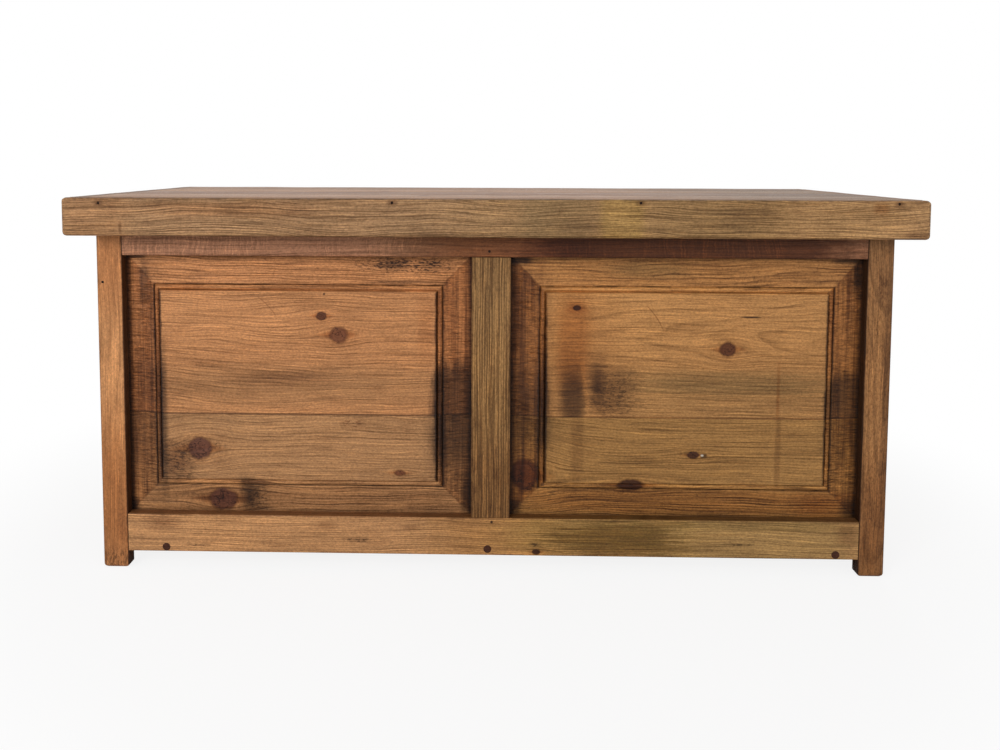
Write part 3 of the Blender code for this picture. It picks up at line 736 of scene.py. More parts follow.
def eased_board(name, node, length_axis, cuts, ease, corner=0.0, wear=0.0, worn_sides=(), butt_axis=None):
    """A board of a node's size with eased edges, rounded outer corners and slight wear on some sides.

    The side that butts against the lid's planks, if there is one, closes up the joint's gap.
    """
    low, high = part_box(node)
    if butt_axis is not None:
        if low[butt_axis] < 0:
            high[butt_axis] += JOINT_CLOSING
        else:
            low[butt_axis] -= JOINT_CLOSING
    piece = block(name, low, high)
    bpy.ops.object.mode_set(mode="EDIT")
    if corner:
        inside = high.y if high.y < 0 else low.y
        choose(piece, "edges", lambda edge: all(abs(abs(v.co.x) - high.x) < SAME_PLACE for v in edge.verts)
               and any(abs(v.co.y - inside) > SAME_PLACE for v in edge.verts))
        bpy.ops.mesh.bevel(offset=corner, segments=6, profile=0.5, affect="EDGES")
    choose(piece, "edges", lambda edge: abs((edge.verts[0].co - edge.verts[1].co)[length_axis]) > 0.1)
    bpy.ops.mesh.subdivide(number_cuts=cuts)
    choose(piece, "edges", is_sharp)
    bpy.ops.mesh.bevel(offset=ease, segments=4, profile=0.5, affect="EDGES")
    choose(piece, "faces", lambda face: any(face.normal.dot(Vector(side)) > 0.7 for side in worn_sides))
    bpy.ops.object.vertex_group_add()
    bpy.ops.object.vertex_group_assign()
    bpy.ops.object.mode_set(mode="OBJECT")
    if wear:
        texture = bpy.data.textures.new(f"{name}_wear", "CLOUDS")
        texture.noise_scale = WEAR_SCALE
        worn = piece.modifiers.new("wear", "DISPLACE")
        worn.texture = texture
        worn.texture_coords = "LOCAL"
        worn.vertex_group = piece.vertex_groups[0].name
        worn.mid_level = 0.0
        worn.strength = -wear
        bpy.ops.object.modifier_apply(modifier="wear")
    piece.vertex_groups.clear()
    bpy.ops.object.shade_smooth_by_angle(angle=SMOOTH_ANGLE)
    return piece


def cut_away(piece, cutter):
    """Cuts the cutter's shape out of a piece and removes the cutter."""
    only(piece)
    cut = piece.modifiers.new("cut", "BOOLEAN")
    cut.operation = "DIFFERENCE"
    cut.object = cutter
    bpy.ops.object.modifier_apply(modifier="cut")
    bpy.data.objects.remove(cutter)


def at_depth(spots, y):
    """Spots given across and up, all set at one depth."""
    return [(x, y, z) for x, z in spots]


def drill(piece, spots, radius, depth):
    """Drills round holes into a piece's front."""
    for spot in spots:
        bpy.ops.object.select_all(action="DESELECT")
        bpy.ops.mesh.primitive_cylinder_add(vertices=20, radius=radius, depth=2 * depth, location=spot,
                                            rotation=(math.pi / 2, 0, 0))
        cut_away(piece, bpy.context.object)
    bpy.ops.object.shade_smooth_by_angle(angle=SMOOTH_ANGLE)


# Front and side panels
for name, facing in (("front_left_panel", (0, -1, 0)), ("front_right_panel", (0, -1, 0)),
                     ("left_panel", (-1, 0, 0)), ("right_panel", (1, 0, 0))):
    raised_panel(name, Vector(facing))

boards = {
    "front_left_panel_upper": Board(
        "front_left_panel_upper", "XZ", 1.3, (0.400, 0.178, 0.068), ring=0.0034, heart=(-0.20, 0.050),
        slope=0.03, wander=0.05,
        knots=((-0.2484, 0.3800, 0.0078, 0.0062, KNOT_MAROON),
               (-0.2232, 0.3521, 0.0130, 0.0115, KNOT_BROWN))),
    "front_left_panel_lower": Board(
        "front_left_panel_lower", "XZ", 4.1, (0.325, 0.164, 0.068), ring=0.0042, heart=(-0.13, 0.035),
        slope=-0.02, wander=0.04, contrast=1.1,
        knots=((-0.4304, 0.1812, 0.0172, 0.0172, KNOT_RED), (-0.3994, 0.1015, 0.0200, 0.0180, KNOT_RED),
               (-0.1339, 0.1467, 0.0080, 0.0044, KNOT_BROWN))),
    "front_right_panel_upper": Board(
        "front_right_panel_upper", "XZ", 7.7, (0.360, 0.173, 0.057), ring=0.0042, heart=(0.0, 0.060),
        slope=0.05, contrast=0.9,
        knots=((0.1245, 0.3944, 0.0058, 0.0040, KNOT_DARK), (0.3437, 0.3351, 0.0115, 0.0108, KNOT_MAROON))),
    "front_right_panel_lower": Board(
        "front_right_panel_lower", "XZ", 9.2, (0.272, 0.138, 0.042), ring=0.0035, heart=(0.14, 0.035),
        slope=0.03, wander=0.04, contrast=1.1,
        knots=((0.2964, 0.1784, 0.0090, 0.0055, KNOT_DARK), (0.2059, 0.1314, 0.0185, 0.0092, KNOT_DARK),
               (0.0497, 0.1430, 0.0190, 0.0260, KNOT_MAROON))),
}
SPIKES_UP = (150.0, 18.0)  # cuts that break a stain's outline into upright spikes
SPIKES_ACROSS = (40.0, 260.0)
STREAKS = (12.0, 300.0)  # cuts that draw a stain out into long streaks along the grain
board = boards["front_left_panel_upper"]
board.tint_patches(
    ((-0.2803, 0.2750), (0.215, 0.029), SMOKE, 0.65, 0.6, 1.3, 0.0, STREAKS),
    ((-0.3027, 0.2876), (0.070, 0.009), UMBER, 0.45, 0.8, 1.5, 0.0, STREAKS),
    ((-0.0935, 0.3604), (0.013, 0.044), RUST, 0.35, 0.7, 0.6),
    ((-0.4519, 0.4207), (0.033, 0.006), RUST, 0.50, 0.7, 0.8),
    ((-0.2441, 0.4124), (0.0016, 0.0016), SOOT_AND_SHADE, 0.9, 0.3, 0.2),
    ((-0.30, 0.2335), (0.30, 0.0014), SOOT_AND_SHADE, 0.75, 0.5, 0.8),
)
board.scratch((-0.3446, 0.4096), (-0.3124, 0.3751), UMBER, 0.45, 0.003)
board.moulded("X", -FRONT_OPENING_MIDDLE, FRONT_OPENING_HALF, 0.72)
board.tint_patches(
    # painted shadow along the field's left edge
    ((-0.4850, 0.265), (0.0065, 0.060), SOOT_AND_SHADE, 0.75, 0.6, 1.0, 0.0, SPIKES_ACROSS),
    ((-0.515, 0.255), (0.028, 0.060), UMBER, 0.50, 0.4, 0.8, 0.0, SPIKES_UP),
    ((-0.5120, 0.430), (0.006, 0.034), SOOT_AND_SHADE, 0.60, 0.7, 0.8, 0.0, SPIKES_UP),
    ((-0.4970, 0.330), (0.008, 0.120), SOOT_AND_SHADE, 0.22, 0.8, 0.9, 0.0, SPIKES_UP),
    # painted shadow in the opening's top left corner, under the top rail
    ((-0.5260, 0.4660), (0.0150, 0.0036), SOOT_AND_SHADE, 0.95, 0.5, 0.6),
    ((-0.1423, 0.4570), (0.0205, 0.0070), SOOT_AND_SHADE, 0.95, 0.8, 1.5, 0.2),
    ((-0.0889, 0.4553), (0.0140, 0.0075), SOOT_AND_SHADE, 0.80, 0.8, 1.5, 0.4),
    ((-0.1248, 0.4549), (0.0740, 0.0115), SOOT_AND_SHADE, 0.90, 0.6, 1.0, 0.9),
    ((-0.1336, 0.4298), (0.0460, 0.0022), SOOT_AND_SHADE, 0.75, 0.7, 1.0, 0.3),
    ((-0.055, 0.2325), (0.034, 0.078), SOOT_AND_SHADE, 0.80, 0.14, 0.5, 0.0, SPIKES_UP),
    ((-0.0755, 0.2400), (0.0080, 0.070), SOOT_AND_SHADE, 0.60, 0.5, 0.9, 0.0, SPIKES_UP),
)
board = boards["front_left_panel_lower"]
board.tint_patches(
    ((-0.4621, 0.1619), (0.024, 0.030), SOOT_AND_SHADE, 0.75, 0.6, 1.0, 0.85),
    ((-0.4660, 0.1610), (0.019, 0.026), UMBER, 0.75, 0.7, 1.4),
)
board.scratch((-0.4000, 0.1130), (-0.4010, 0.0980), SOOT_AND_SHADE, 0.90, 0.001, 0.0012)
board.tint_patches(
    ((-0.4050, 0.1860), (0.006, 0.006), SOOT_AND_SHADE, 0.80, 0.5, 1.0, 0.8),
    ((-0.2042, 0.2197), (0.016, 0.007), UMBER, 0.80, 0.5, 1.0, 0.9),
)
board.moulded("X", -FRONT_OPENING_MIDDLE, FRONT_OPENING_HALF, 0.70)
board.tint_patches(
    # painted shadow along the field's left edge
    ((-0.4850, 0.200), (0.0065, 0.090), SOOT_AND_SHADE, 0.75, 0.6, 1.0, 0.0, SPIKES_ACROSS),
    ((-0.515, 0.235), (0.028, 0.100), UMBER, 0.60, 0.4, 0.8, 0.0, SPIKES_UP),
    ((-0.4980, 0.180), (0.008, 0.090), SOOT_AND_SHADE, 0.30, 0.8, 0.9, 0.0, SPIKES_UP),
    ((-0.5265, 0.1146), (0.006, 0.021), GLOW, 0.90, 0.6, 0.6),
    ((-0.5362, 0.0900), (0.009, 0.012), SOOT_AND_SHADE, 0.90, 0.6, 0.8),
    ((-0.283, 0.104), (0.23, 0.018), UMBER, 0.20, 0.5, 0.8),
    ((-0.3590, 0.1080), (0.0105, 0.024), SOOT_AND_SHADE, 0.85, 0.9, 1.6, 0.0, (120.0, 90.0)),
    ((-0.3470, 0.1040), (0.0170, 0.022), SOOT_AND_SHADE, 0.90, 0.7, 1.2, 0.7),
    ((-0.3540, 0.1300), (0.0220, 0.005), UMBER, 0.75, 0.7, 1.0),
    # painted highlight on the lower bead
    ((-0.4140, 0.1305), (0.054, 0.0034), GLOW, 0.95, 0.5, 0.5),
    ((-0.055, 0.2325), (0.034, 0.090), SOOT_AND_SHADE, 0.80, 0.5, 0.7, 0.0, SPIKES_UP),
    ((-0.0755, 0.2325), (0.0080, 0.070), SOOT_AND_SHADE, 0.60, 0.5, 0.9, 0.0, SPIKES_UP),
    ((-0.0345, 0.1119), (0.009, 0.029), SOOT_AND_SHADE, 0.80, 0.6, 0.8),
)
board = boards["front_right_panel_upper"]
board.tint_patches(
    ((0.1189, 0.3450), (0.024, 0.062), RUST, 0.80, 0.6, 0.6),
    ((0.1350, 0.3400), (0.050, 0.090), RUST, 0.30, 0.7, 0.8),
    ((0.1160, 0.3050), (0.020, 0.030), PEAT, 0.40, 0.7, 0.8, 0.0, SPIKES_UP),
    ((0.1245, 0.3944), (0.012, 0.009), RUST, 0.60, 0.7, 0.6),
    ((0.3519, 0.2860), (0.140, 0.016), SMOKE, 0.85, 0.6, 1.3, 0.0, STREAKS),
    ((0.3600, 0.2560), (0.170, 0.030), SMOKE, 0.50, 0.6, 1.3, 0.0, STREAKS),
    ((0.1180, 0.2620), (0.0175, 0.040), DUSK, 0.90, 0.55, 0.8),
    ((0.1200, 0.2540), (0.0165, 0.034), SOOT_AND_SHADE, 0.60, 0.6, 0.9),
    ((0.1550, 0.2850), (0.0115, 0.034), DUSK, 0.90, 0.8, 1.4),
    ((0.1560, 0.2800), (0.0080, 0.026), DUSK, 0.50, 0.9, 1.4),
    ((0.1780, 0.2680), (0.0290, 0.034), DUSK, 0.75, 0.8, 1.2),
    ((0.1820, 0.2660), (0.0360, 0.036), SOOT_AND_SHADE, 0.65, 0.8, 1.2, 0.85),
)
board.scratch((0.1330, 0.3200), (0.1440, 0.2330), GLOW, 0.70, -0.001, 0.0050)
board.tint_patches(
    ((0.3757, 0.3826), (0.0130, 0.0012), SOOT_AND_SHADE, 0.95, 0.4, 0.3),
    ((0.4176, 0.2700), (0.0022, 0.038), RUST, 0.70, 0.6, 0.5),
    ((0.30, 0.2335), (0.30, 0.0012), UMBER, 0.8, 0.5, 0.8),
)
board.scratch((0.2237, 0.4000), (0.2519, 0.3576), UMBER, 0.60, 0.003)
board.moulded("X", FRONT_OPENING_MIDDLE, FRONT_OPENING_HALF, 0.88, 1.5)
board.tint_patches(
    ((0.283, 0.448), (0.26, 0.022), RUST, 0.30, 0.4, 0.8),
    ((0.283, 0.448), (0.26, 0.022), SMOKE, 0.40, 0.4, 0.8),
    ((0.2274, 0.4500), (0.055, 0.011), SMOKE, 0.85, 0.6, 0.8),
    ((0.055, 0.3300), (0.030, 0.130), UMBER, 0.65, 0.5, 0.8, 0.0, SPIKES_UP),
    ((0.516, 0.3700), (0.030, 0.100), UMBER, 0.25, 0.5, 0.8, 0.0, SPIKES_UP),
    ((0.055, 0.2325), (0.036, 0.070), SOOT_AND_SHADE, 0.55, 0.5, 0.8, 0.0, SPIKES_UP),
    ((0.0765, 0.2480), (0.0080, 0.070), SOOT_AND_SHADE, 0.60, 0.5, 0.9, 0.0, SPIKES_UP),
    ((0.516, 0.2325), (0.032, 0.066), SOOT_AND_SHADE, 0.70, 0.14, 0.6, 0.0, SPIKES_UP),
    # painted shadow in the opening's top corners, under the top rail (these three rows)
    ((0.0420, 0.4630), (0.0180, 0.0060), SOOT_AND_SHADE, 0.95, 0.6, 0.9),
    ((0.5300, 0.4420), (0.0065, 0.0260), SOOT_AND_SHADE, 0.85, 0.6, 0.8, 0.0, SPIKES_UP),
    ((0.5150, 0.4640), (0.0200, 0.0040), SOOT_AND_SHADE, 0.80, 0.6, 0.8),
)
board = boards["front_right_panel_lower"]
board.tint_patches(
    ((0.1269, 0.1850), (0.009, 0.050), UMBER, 0.40, 0.5, 0.5),
    ((0.4190, 0.1900), (0.004, 0.060), UMBER, 0.45, 0.5, 0.5),
    ((0.3120, 0.1772), (0.0048, 0.0032), SOOT_AND_SHADE, 0.85, 0.5, 0.8),
)
board.tint_patch((0.3096, 0.1776), (0.0019, 0.0014), PALE_CHIP, 0.90, 0.5, 0.8, blend="MIX")
board.moulded("X", FRONT_OPENING_MIDDLE, FRONT_OPENING_HALF, 0.88, 1.5)
board.tint_patches(
    ((0.283, 0.104), (0.26, 0.020), RUST, 0.60, 0.4, 0.8),
    ((0.4893, 0.1000), (0.036, 0.020), RUST, 0.70, 0.6, 0.6),
    ((0.055, 0.2325), (0.036, 0.050), SOOT_AND_SHADE, 0.55, 0.6, 0.8, 0.0, SPIKES_UP),
    ((0.0765, 0.2325), (0.0080, 0.045), SOOT_AND_SHADE, 0.60, 0.5, 0.9, 0.0, SPIKES_UP),
    ((0.516, 0.2325), (0.032, 0.060), SOOT_AND_SHADE, 0.25, 0.5, 0.8, 0.0, SPIKES_UP),
    ((0.5296, 0.0937), (0.013, 0.016), SOOT_AND_SHADE, 0.80, 0.6, 0.8),
    ((0.0370, 0.0938), (0.009, 0.012), SOOT_AND_SHADE, 0.80, 0.6, 0.8),
)

chance = random.Random(11)


def scattered_knots(node, axes, count):
    """A few knots strewn over a board's face, the same ones on every run."""
    low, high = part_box(node)
    knots = []
    for _ in range(count):
        at = []
        for axis in axes:
            place = AXES.index(axis)
            at.append(low[place] + (high[place] - low[place]) * chance.uniform(0.08, 0.92))
        half = 0.003 + 0.012 * chance.random() ** 2
        tint = chance.choice((KNOT_BROWN, KNOT_BROWN, KNOT_RED))
        knots.append((*at, half * chance.uniform(1.0, 1.5), half, tint))
    return tuple(knots)


def varied(colour):
    """A board's own shade of a colour."""
    shade = chance.uniform(0.86, 1.14)
    warmth = chance.uniform(0.96, 1.04)
    return scaled(colour, (shade * warmth, shade, shade / warmth))


for side in ("left", "right"):
    for half, heart in (("upper", -0.17), ("lower", 0.13)):
        name = f"{side}_panel_{half}"
        board = Board(name, "YZ", chance.uniform(10, 40), varied(PANEL_COLOUR), ring=0.004,
                      heart=(heart, 0.045), slope=0.04, knots=scattered_knots(name, "YZ", 2))
        board.tint_patch((0.0, 0.262), (0.16, 0.034), SMOKE, 0.55, 0.6, 0.8)
        board.moulded("Y", 0.0, SIDE_OPENING_HALF, 0.85)
        for edge in (-1, 1):
            board.tint_patch((edge * 0.150, 0.235), (0.030, 0.080), UMBER, 0.60, 0.4, 0.8, 0.0, SPIKES_UP)
        boards[name] = board
for name, board in boards.items():
    seat(bpy.data.objects[f"{name}_board"], "body", board.finish(), (name,))

# Front frame
board = Board("leg_front_left", "ZX", 15.2, (0.40, 0.185, 0.073), ring=0.0075, heart=(-0.01, 0.05),
              slope=0.05, wander=0.05, contrast=0.75)
board.edges(0.003, 0.5)
board.tint_patches(
    ((0.10, -0.558), (0.11, 0.03), RUST, 0.80, 0.7, 0.8),
    ((0.10, -0.558), (0.11, 0.03), SMOKE, 0.30, 0.7, 0.8),
    ((0.46, -0.558), (0.07, 0.03), RUST, 0.55, 0.7, 0.8),
    ((0.014, -0.557), (0.016, 0.02), SOOT_AND_SHADE, 0.65, 0.6, 1.2, 0.9),
    ((0.25, -0.556), (0.10, 0.010), GLOW, 0.40, 0.9, 1.6),
    ((0.064, -0.5450), (0.020, 0.006), UMBER, 0.6, 0.7, 1.2, 0.5),
)
# the leg's inner side beside the panel's recess: dark stain with painted shade
board.beyond("X", -0.5400, -0.5386, 0.92, SOOT_AND_SHADE)
dress("leg_front_left", board.finish())
board = Board("leg_front_right", "ZX", 16.5, (0.206, 0.098, 0.036), ring=0.0040, heart=(0.01, 0.03),
              slope=0.05, wander=0.05, contrast=1.0)
board.edges(0.003, 0.6)
board.tint_patches(
    ((0.430, 0.5603), (0.02, 0.008), UMBER, 0.7, 0.6, 1.2, 0.5),
    ((0.07, 0.5560), (0.09, 0.02), RUST, 0.6, 0.7, 0.8),
    ((0.25, 0.5560), (0.26, 0.018), UMBER, 0.45, 0.5, 0.8, 0.95),
    ((0.26, 0.5700), (0.20, 0.006), UMBER, 0.5, 0.7, 1.0),
    ((0.27, 0.5550), (0.12, 0.014), GLOW, 0.5, 0.7, 1.0),
    ((0.24, 0.5530), (0.24, 0.016), GLOW, 0.7, 0.9, 2.4, 0.0, STREAKS),
)
# the leg's inner side beside the panel's recess: dark stain with painted shade
board.beyond("X", 0.5400, 0.5386, 0.92, SOOT_AND_SHADE)
dress("leg_front_right", board.finish())
board = Board("front_muntin", "ZX", 17.8, (0.222, 0.117, 0.041), ring=0.0032, heart=(0.16, 0.05),
              wander=0.006, contrast=2.5)
board.edges(0.003, 0.7)
board.tint_patches(
    ((0.12, 0.0), (0.07, 0.04), RUST, 0.5, 0.6, 0.6),
    ((0.27, 0.0), (0.09, 0.03), GLOW, 0.5, 0.8, 0.8),
)
dress("front_muntin", board.finish())
board = Board("front_bottom_rail", "XZ", 19.1, (0.375, 0.190, 0.079), ring=0.0030, heart=(0.12, 0.03),
              slope=0.01, contrast=1.0, knots=((0.0677, 0.0322, 0.006, 0.004, KNOT_DARK),))
board.tint_patches(
    ((0.1800, 0.0528), (0.095, 0.026), MOSS, 0.70, 0.4, 2.6, 0.0, STREAKS),
    ((0.1900, 0.0528), (0.085, 0.024), PEAT, 0.62, 0.4, 3.0, 0.0, STREAKS),
    ((0.10, 0.055), (0.17, 0.05), YELLOW, 0.70, 0.5, 0.6),
    ((0.12, 0.060), (0.095, 0.030), OLIVE, 0.70, 0.5, 0.8),
    ((0.02, 0.055), (0.09, 0.05), RUST, 0.30, 0.5, 0.8),
    ((0.38, 0.055), (0.17, 0.05), OLIVE, 0.95, 0.4, 0.6),
    ((0.3847, 0.0763), (0.148, 0.008), MOSS, 0.50, 0.6, 1.3, 0.0, STREAKS),
    ((0.5217, 0.0645), (0.016, 0.013), UMBER, 0.60, 0.7, 1.0),
    ((-0.4860, 0.0700), (0.022, 0.010), UMBER, 0.75, 0.8, 2.0, 0.3),
    ((-0.2430, 0.0700), (0.012, 0.006), UMBER, 0.45, 0.8, 1.6),
    ((-0.1155, 0.0665), (0.010, 0.004), UMBER, 0.50, 0.8, 1.6),
    ((-0.3940, 0.0550), (0.050, 0.030), GLOW, 0.35, 0.8, 0.8),
)
for at, half in (((-0.4354, 0.0362), (0.018, 0.0016)), ((-0.1968, 0.0469), (0.018, 0.0030)),
                 ((0.3618, 0.0466), (0.022, 0.0014)), ((0.0676, 0.0428), (0.008, 0.0030))):
    board.tint_patch(at, half, SOOT_AND_SHADE, 0.85, 0.5, 1.0, 0.6)
board.edges(0.003, 0.5)
# the ledge on top of the rail, under the panel: partly dirt, partly painted shade
board.beyond("Z", 0.0820, 0.0828, 0.80, UMBER)
dress("front_bottom_rail", board.finish())
board = Board("front_top_rail", "XZ", 20.6, (0.272, 0.125, 0.065), ring=0.006, heart=(0.12, 0.04),
              contrast=0.8)
board.saw(0.55)
board.tint_patches(
    # dark patches on the right of the rail: partly dark stain, partly painted shadow of the lid's overhang
    ((0.285, 0.49), (0.22, 0.05), PEAT, 0.95, 0.25, 0.5),
    ((0.285, 0.49), (0.24, 0.05), PEAT, 0.85, 0.3, 0.5),
    ((0.02, 0.49), (0.12, 0.05), RUST, 0.95, 0.5, 0.5),
    ((-0.05, 0.49), (0.10, 0.05), MOSS, 0.55, 0.6, 0.5),
)
board.beyond("Z", 0.4960, 0.5020, 0.55, scaled(FRAME_COLOUR, (0.8, 0.8, 0.8)), "MIX")
board.edges(0.003, 0.6)
dress("front_top_rail", board.finish())

# Lid
LID_NAIL_SPOTS = ((-0.556, 0.546), (-0.140, 0.548), (0.208, 0.549), (0.565, 0.549))
NAIL_HOLE_RADIUS = 0.0021
NAIL_HOLE_DEPTH = 0.0018
EDGING_EASE = 0.0028
EDGING_CORNER = 0.006
EDGING_WEAR = 0.0010
EDGING_COLOUR = (0.275, 0.150, 0.068)
PLANK_EASE = 0.0010
PLANK_WEAR = 0.0006
UP = (0, 0, 1)
piece = eased_board("lid_front_edging", "lid_edging_front", 0, 40, EDGING_EASE, corner=EDGING_CORNER,
                    wear=EDGING_WEAR, worn_sides=((0, -1, 0), UP), butt_axis=1)
drill(piece, at_depth(LID_NAIL_SPOTS, LID_FACE), NAIL_HOLE_RADIUS, NAIL_HOLE_DEPTH)
board = Board("lid_edging_front", "XZ", 22.4, (0.312, 0.174, 0.081), ring=0.0026, heart=(0.16, 0.05),
              slope=0.02, wander=0.06, contrast=1.6)
board.tint_patches(
    ((-0.5648, 0.527), (0.046, 0.05), RUST, 0.35, 0.5, 0.6),
    ((-0.5648, 0.527), (0.050, 0.05), GLOW, 0.20, 0.5, 0.6),
    ((-0.3827, 0.5375), (0.113, 0.010), RUST, 0.55, 0.7, 1.8, 0.0, STREAKS),
    ((0.5000, 0.527), (0.12, 0.05), GLOW, 0.45, 0.4, 0.6),
    ((-0.5256, 0.5114), (0.0022, 0.008), UMBER, 0.60, 0.5, 0.6),
    ((-0.03, 0.527), (0.13, 0.05), SMOKE, 0.25, 0.4, 0.6),
    ((0.097, 0.527), (0.055, 0.05), SMOKE, 0.55, 0.4, 0.6),
    ((0.1235, 0.5150), (0.035, 0.015), UMBER, 0.35, 0.8, 1.4, 0.0, (20.0, 260.0)),
    ((0.1825, 0.527), (0.030, 0.05), YELLOW, 0.9, 0.3, 0.4),
    ((0.1825, 0.527), (0.030, 0.05), GLOW, 0.20, 0.5, 0.6),
    ((0.31, 0.527), (0.10, 0.05), MOSS, 0.38, 0.4, 0.6),
    ((0.30, 0.527), (0.32, 0.05), YELLOW, 0.40, 0.4, 0.6),
    ((0.3598, 0.5340), (0.030, 0.018), UMBER, 0.22, 0.9, 2.2, 0.0, (20.0, 260.0)),
    ((0.5398, 0.5423), (0.010, 0.007), RUST, 0.70, 0.6, 0.8),
    ((0.5918, 0.5055), (0.019, 0.004), UMBER, 0.60, 0.6, 0.8),
)
for spot in LID_NAIL_SPOTS:
    board.tint_patch(spot, (0.0065, 0.0042), UMBER, 0.75, 0.7, 1.0)
board.edges(0.003, 0.5)
seat(piece, "lid", board.finish(), ("lid_edging_front",))
for side, length_axis, axes, corner, outward in (
        ("back", 0, "XZ", EDGING_CORNER, (0, 1, 0)), ("left", 1, "YZ", 0, (-1, 0, 0)),
        ("right", 1, "YZ", 0, (1, 0, 0))):
    node = f"lid_edging_{side}"
    piece = eased_board(f"lid_{side}_edging", node, length_axis, 30, EDGING_EASE, corner=corner,
                        wear=EDGING_WEAR, worn_sides=(outward, UP), butt_axis=1 - length_axis)
    board = Board(node, axes, chance.uniform(40, 60), varied(EDGING_COLOUR), ring=0.0032, heart=(0.15, 0.05),
                  slope=0.02, knots=scattered_knots(node, axes, 2))
    board.edges(0.003, 0.5)
    seat(piece, "lid", board.finish(), (node,))
PLANK_COLOURS = ((0.36, 0.183, 0.088), (0.26, 0.126, 0.058), (0.38, 0.192, 0.090), (0.29, 0.144, 0.067))
FADE = (0.1, 0.5)  # where along the planks they turn darker
for count, colour in enumerate(PLANK_COLOURS, 1):
    node = f"lid_plank_{count}"
    piece = eased_board(f"lid_top_plank_{count}", node, 0, 40, PLANK_EASE, wear=PLANK_WEAR, worn_sides=(UP,))
    board = Board(node, "XY", 23.7 + count, colour, ring=0.006, heart=(0.03, -0.05), slope=0.03, wander=0.05,
                  knots=scattered_knots(node, "XY", 2))
    board.edges(0.004, 0.45)
    board.beyond("X", *FADE, 0.90, MOSS)
    seat(piece, "lid", board.finish(roughness=0.44, sheen=0.3), (node,))

# The rest of the timbers: their directions along and across, their colour and their count of knots
TIMBERS = {}
for end in ("left", "right"):
    TIMBERS[f"leg_back_{end}"] = ("ZX", FRAME_COLOUR, 1)
    TIMBERS[f"{end}_top_rail"] = ("YZ", FRAME_COLOUR, 1)
    TIMBERS[f"{end}_bottom_rail"] = ("YZ", FRAME_COLOUR, 1)
    for half in ("upper", "lower"):
        TIMBERS[f"back_{end}_panel_{half}"] = ("XZ", PANEL_COLOUR, 2)
TIMBERS["back_muntin"] = ("ZX", FRAME_COLOUR, 1)
TIMBERS["back_top_rail"] = ("XZ", FRAME_COLOUR, 1)
TIMBERS["back_bottom_rail"] = ("XZ", FRAME_COLOUR, 1)
for place in PLACES:
    TIMBERS[f"floor_bearer_{place}"] = ("YX", INNER_COLOUR, 1)
    TIMBERS[f"lid_batten_{place}"] = ("YX", INNER_COLOUR, 1)
for count in range(1, 5):
    TIMBERS[f"floor_board_{count}"] = ("XY", INNER_COLOUR, 3)
for name, (axes, colour, knots) in TIMBERS.items():
    heart = (chance.choice((-1, 1)) * chance.uniform(0.08, 0.2), chance.uniform(0.03, 0.07))
    board = Board(name, axes, chance.uniform(30, 90), varied(colour), ring=chance.uniform(0.0035, 0.006),
                  heart=heart, slope=chance.uniform(-0.04, 0.04), knots=scattered_knots(name, axes, knots))
    board.edges(0.003, 0.4)
    dress(name, board.finish())


def metal_finish(name, dark, bright, roughness):
    """Dark metal that is rubbed brighter in patches."""
    material, tree, shader, place = new_finish(name)
    rubbed = tree.step(tree.noise(*place, (70.0, 70.0, 70.0), 5.0, 0.65), 0.46, 0.70)
    pitting = tree.noise(*place, (900.0, 900.0, 900.0), 3.0, 0.7)
    tree.put(tree.mix(rubbed, dark, bright), shader.inputs["Base Color"])
    tree.put(tree.times_plus(pitting, 0.3, roughness - 0.15), shader.inputs["Roughness"])
    shader.inputs["Metallic"].default_value = 0.85
    emboss(tree, shader, pitting, 0.25, METAL_RELIEF)
    return material


# Hinges
bronze = metal_finish("hinge_bronze", (0.050, 0.041, 0.034), (0.110, 0.084, 0.060), 0.42)
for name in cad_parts:
    if name.startswith("hinge"):
        dress(name, bronze)


# Plugs, nails and screws
def round_head(name, radius, rise, dome, sink):
    """A round head that faces -Y, its back at y = 0, with a domed face and a shank behind it."""
    bpy.ops.object.select_all(action="DESELECT")
    bpy.ops.mesh.primitive_cylinder_add(vertices=24, radius=radius, depth=rise, location=(0, -rise / 2, 0),
                                        rotation=(math.pi / 2, 0, 0))
    piece = bpy.context.object
    rename(piece, name)
    bpy.ops.object.transform_apply(location=True, rotation=True, scale=True)
    bpy.ops.object.mode_set(mode="EDIT")
    choose(piece, "faces", lambda face: face.normal.y < -0.9)
    bpy.ops.mesh.inset(thickness=radius * 0.3, depth=dome * 0.7)
    bpy.ops.mesh.inset(thickness=radius * 0.3, depth=dome * 0.3)
    choose(piece, "faces", lambda face: face.normal.y > 0.9)
    bpy.ops.mesh.inset(thickness=radius * 0.5, depth=0)
    bpy.ops.mesh.extrude_region_move(TRANSFORM_OT_translate={"value": (0, sink, 0)})
    bpy.ops.object.mode_set(mode="OBJECT")
    bpy.ops.object.shade_smooth_by_angle(angle=SMOOTH_ANGLE)
    return piece


def cut_slot(piece, width, depth):
    """Cuts a screwdriver's slot into a head."""
    low, high = (Vector(corner) for corner in (piece.bound_box[0], piece.bound_box[6]))
    cutter = block("slot", (low.x * 1.1, low.y * 2, -width / 2), (high.x * 1.1, low.y + depth, width / 2))
    cut_away(piece, cutter)


def spread(pattern, name, spots, turn, body, slot, material):
    """Sets a copy of a fastener at every spot, turned from -Y to the way it faces."""
    for count, spot in enumerate(spots, 1):
        only(pattern)
        bpy.ops.object.duplicate()
        piece = bpy.context.object
        rename(piece, f"{name}_{count}")
        piece.matrix_world = Matrix.Translation(spot) @ turn
        bpy.ops.object.transform_apply(location=True, rotation=True, scale=True)
        seat(piece, body, material)


TO_FRONT = Matrix.Identity(4)
TO_BACK = Matrix.Rotation(math.pi, 4, "Z")
TO_TOP = Matrix.Rotation(-math.pi / 2, 4, "X")
TO_GROUND = Matrix.Rotation(math.pi / 2, 4, "X")
iron = metal_finish("nail_iron", (0.020, 0.012, 0.009), (0.070, 0.038, 0.022), 0.6)

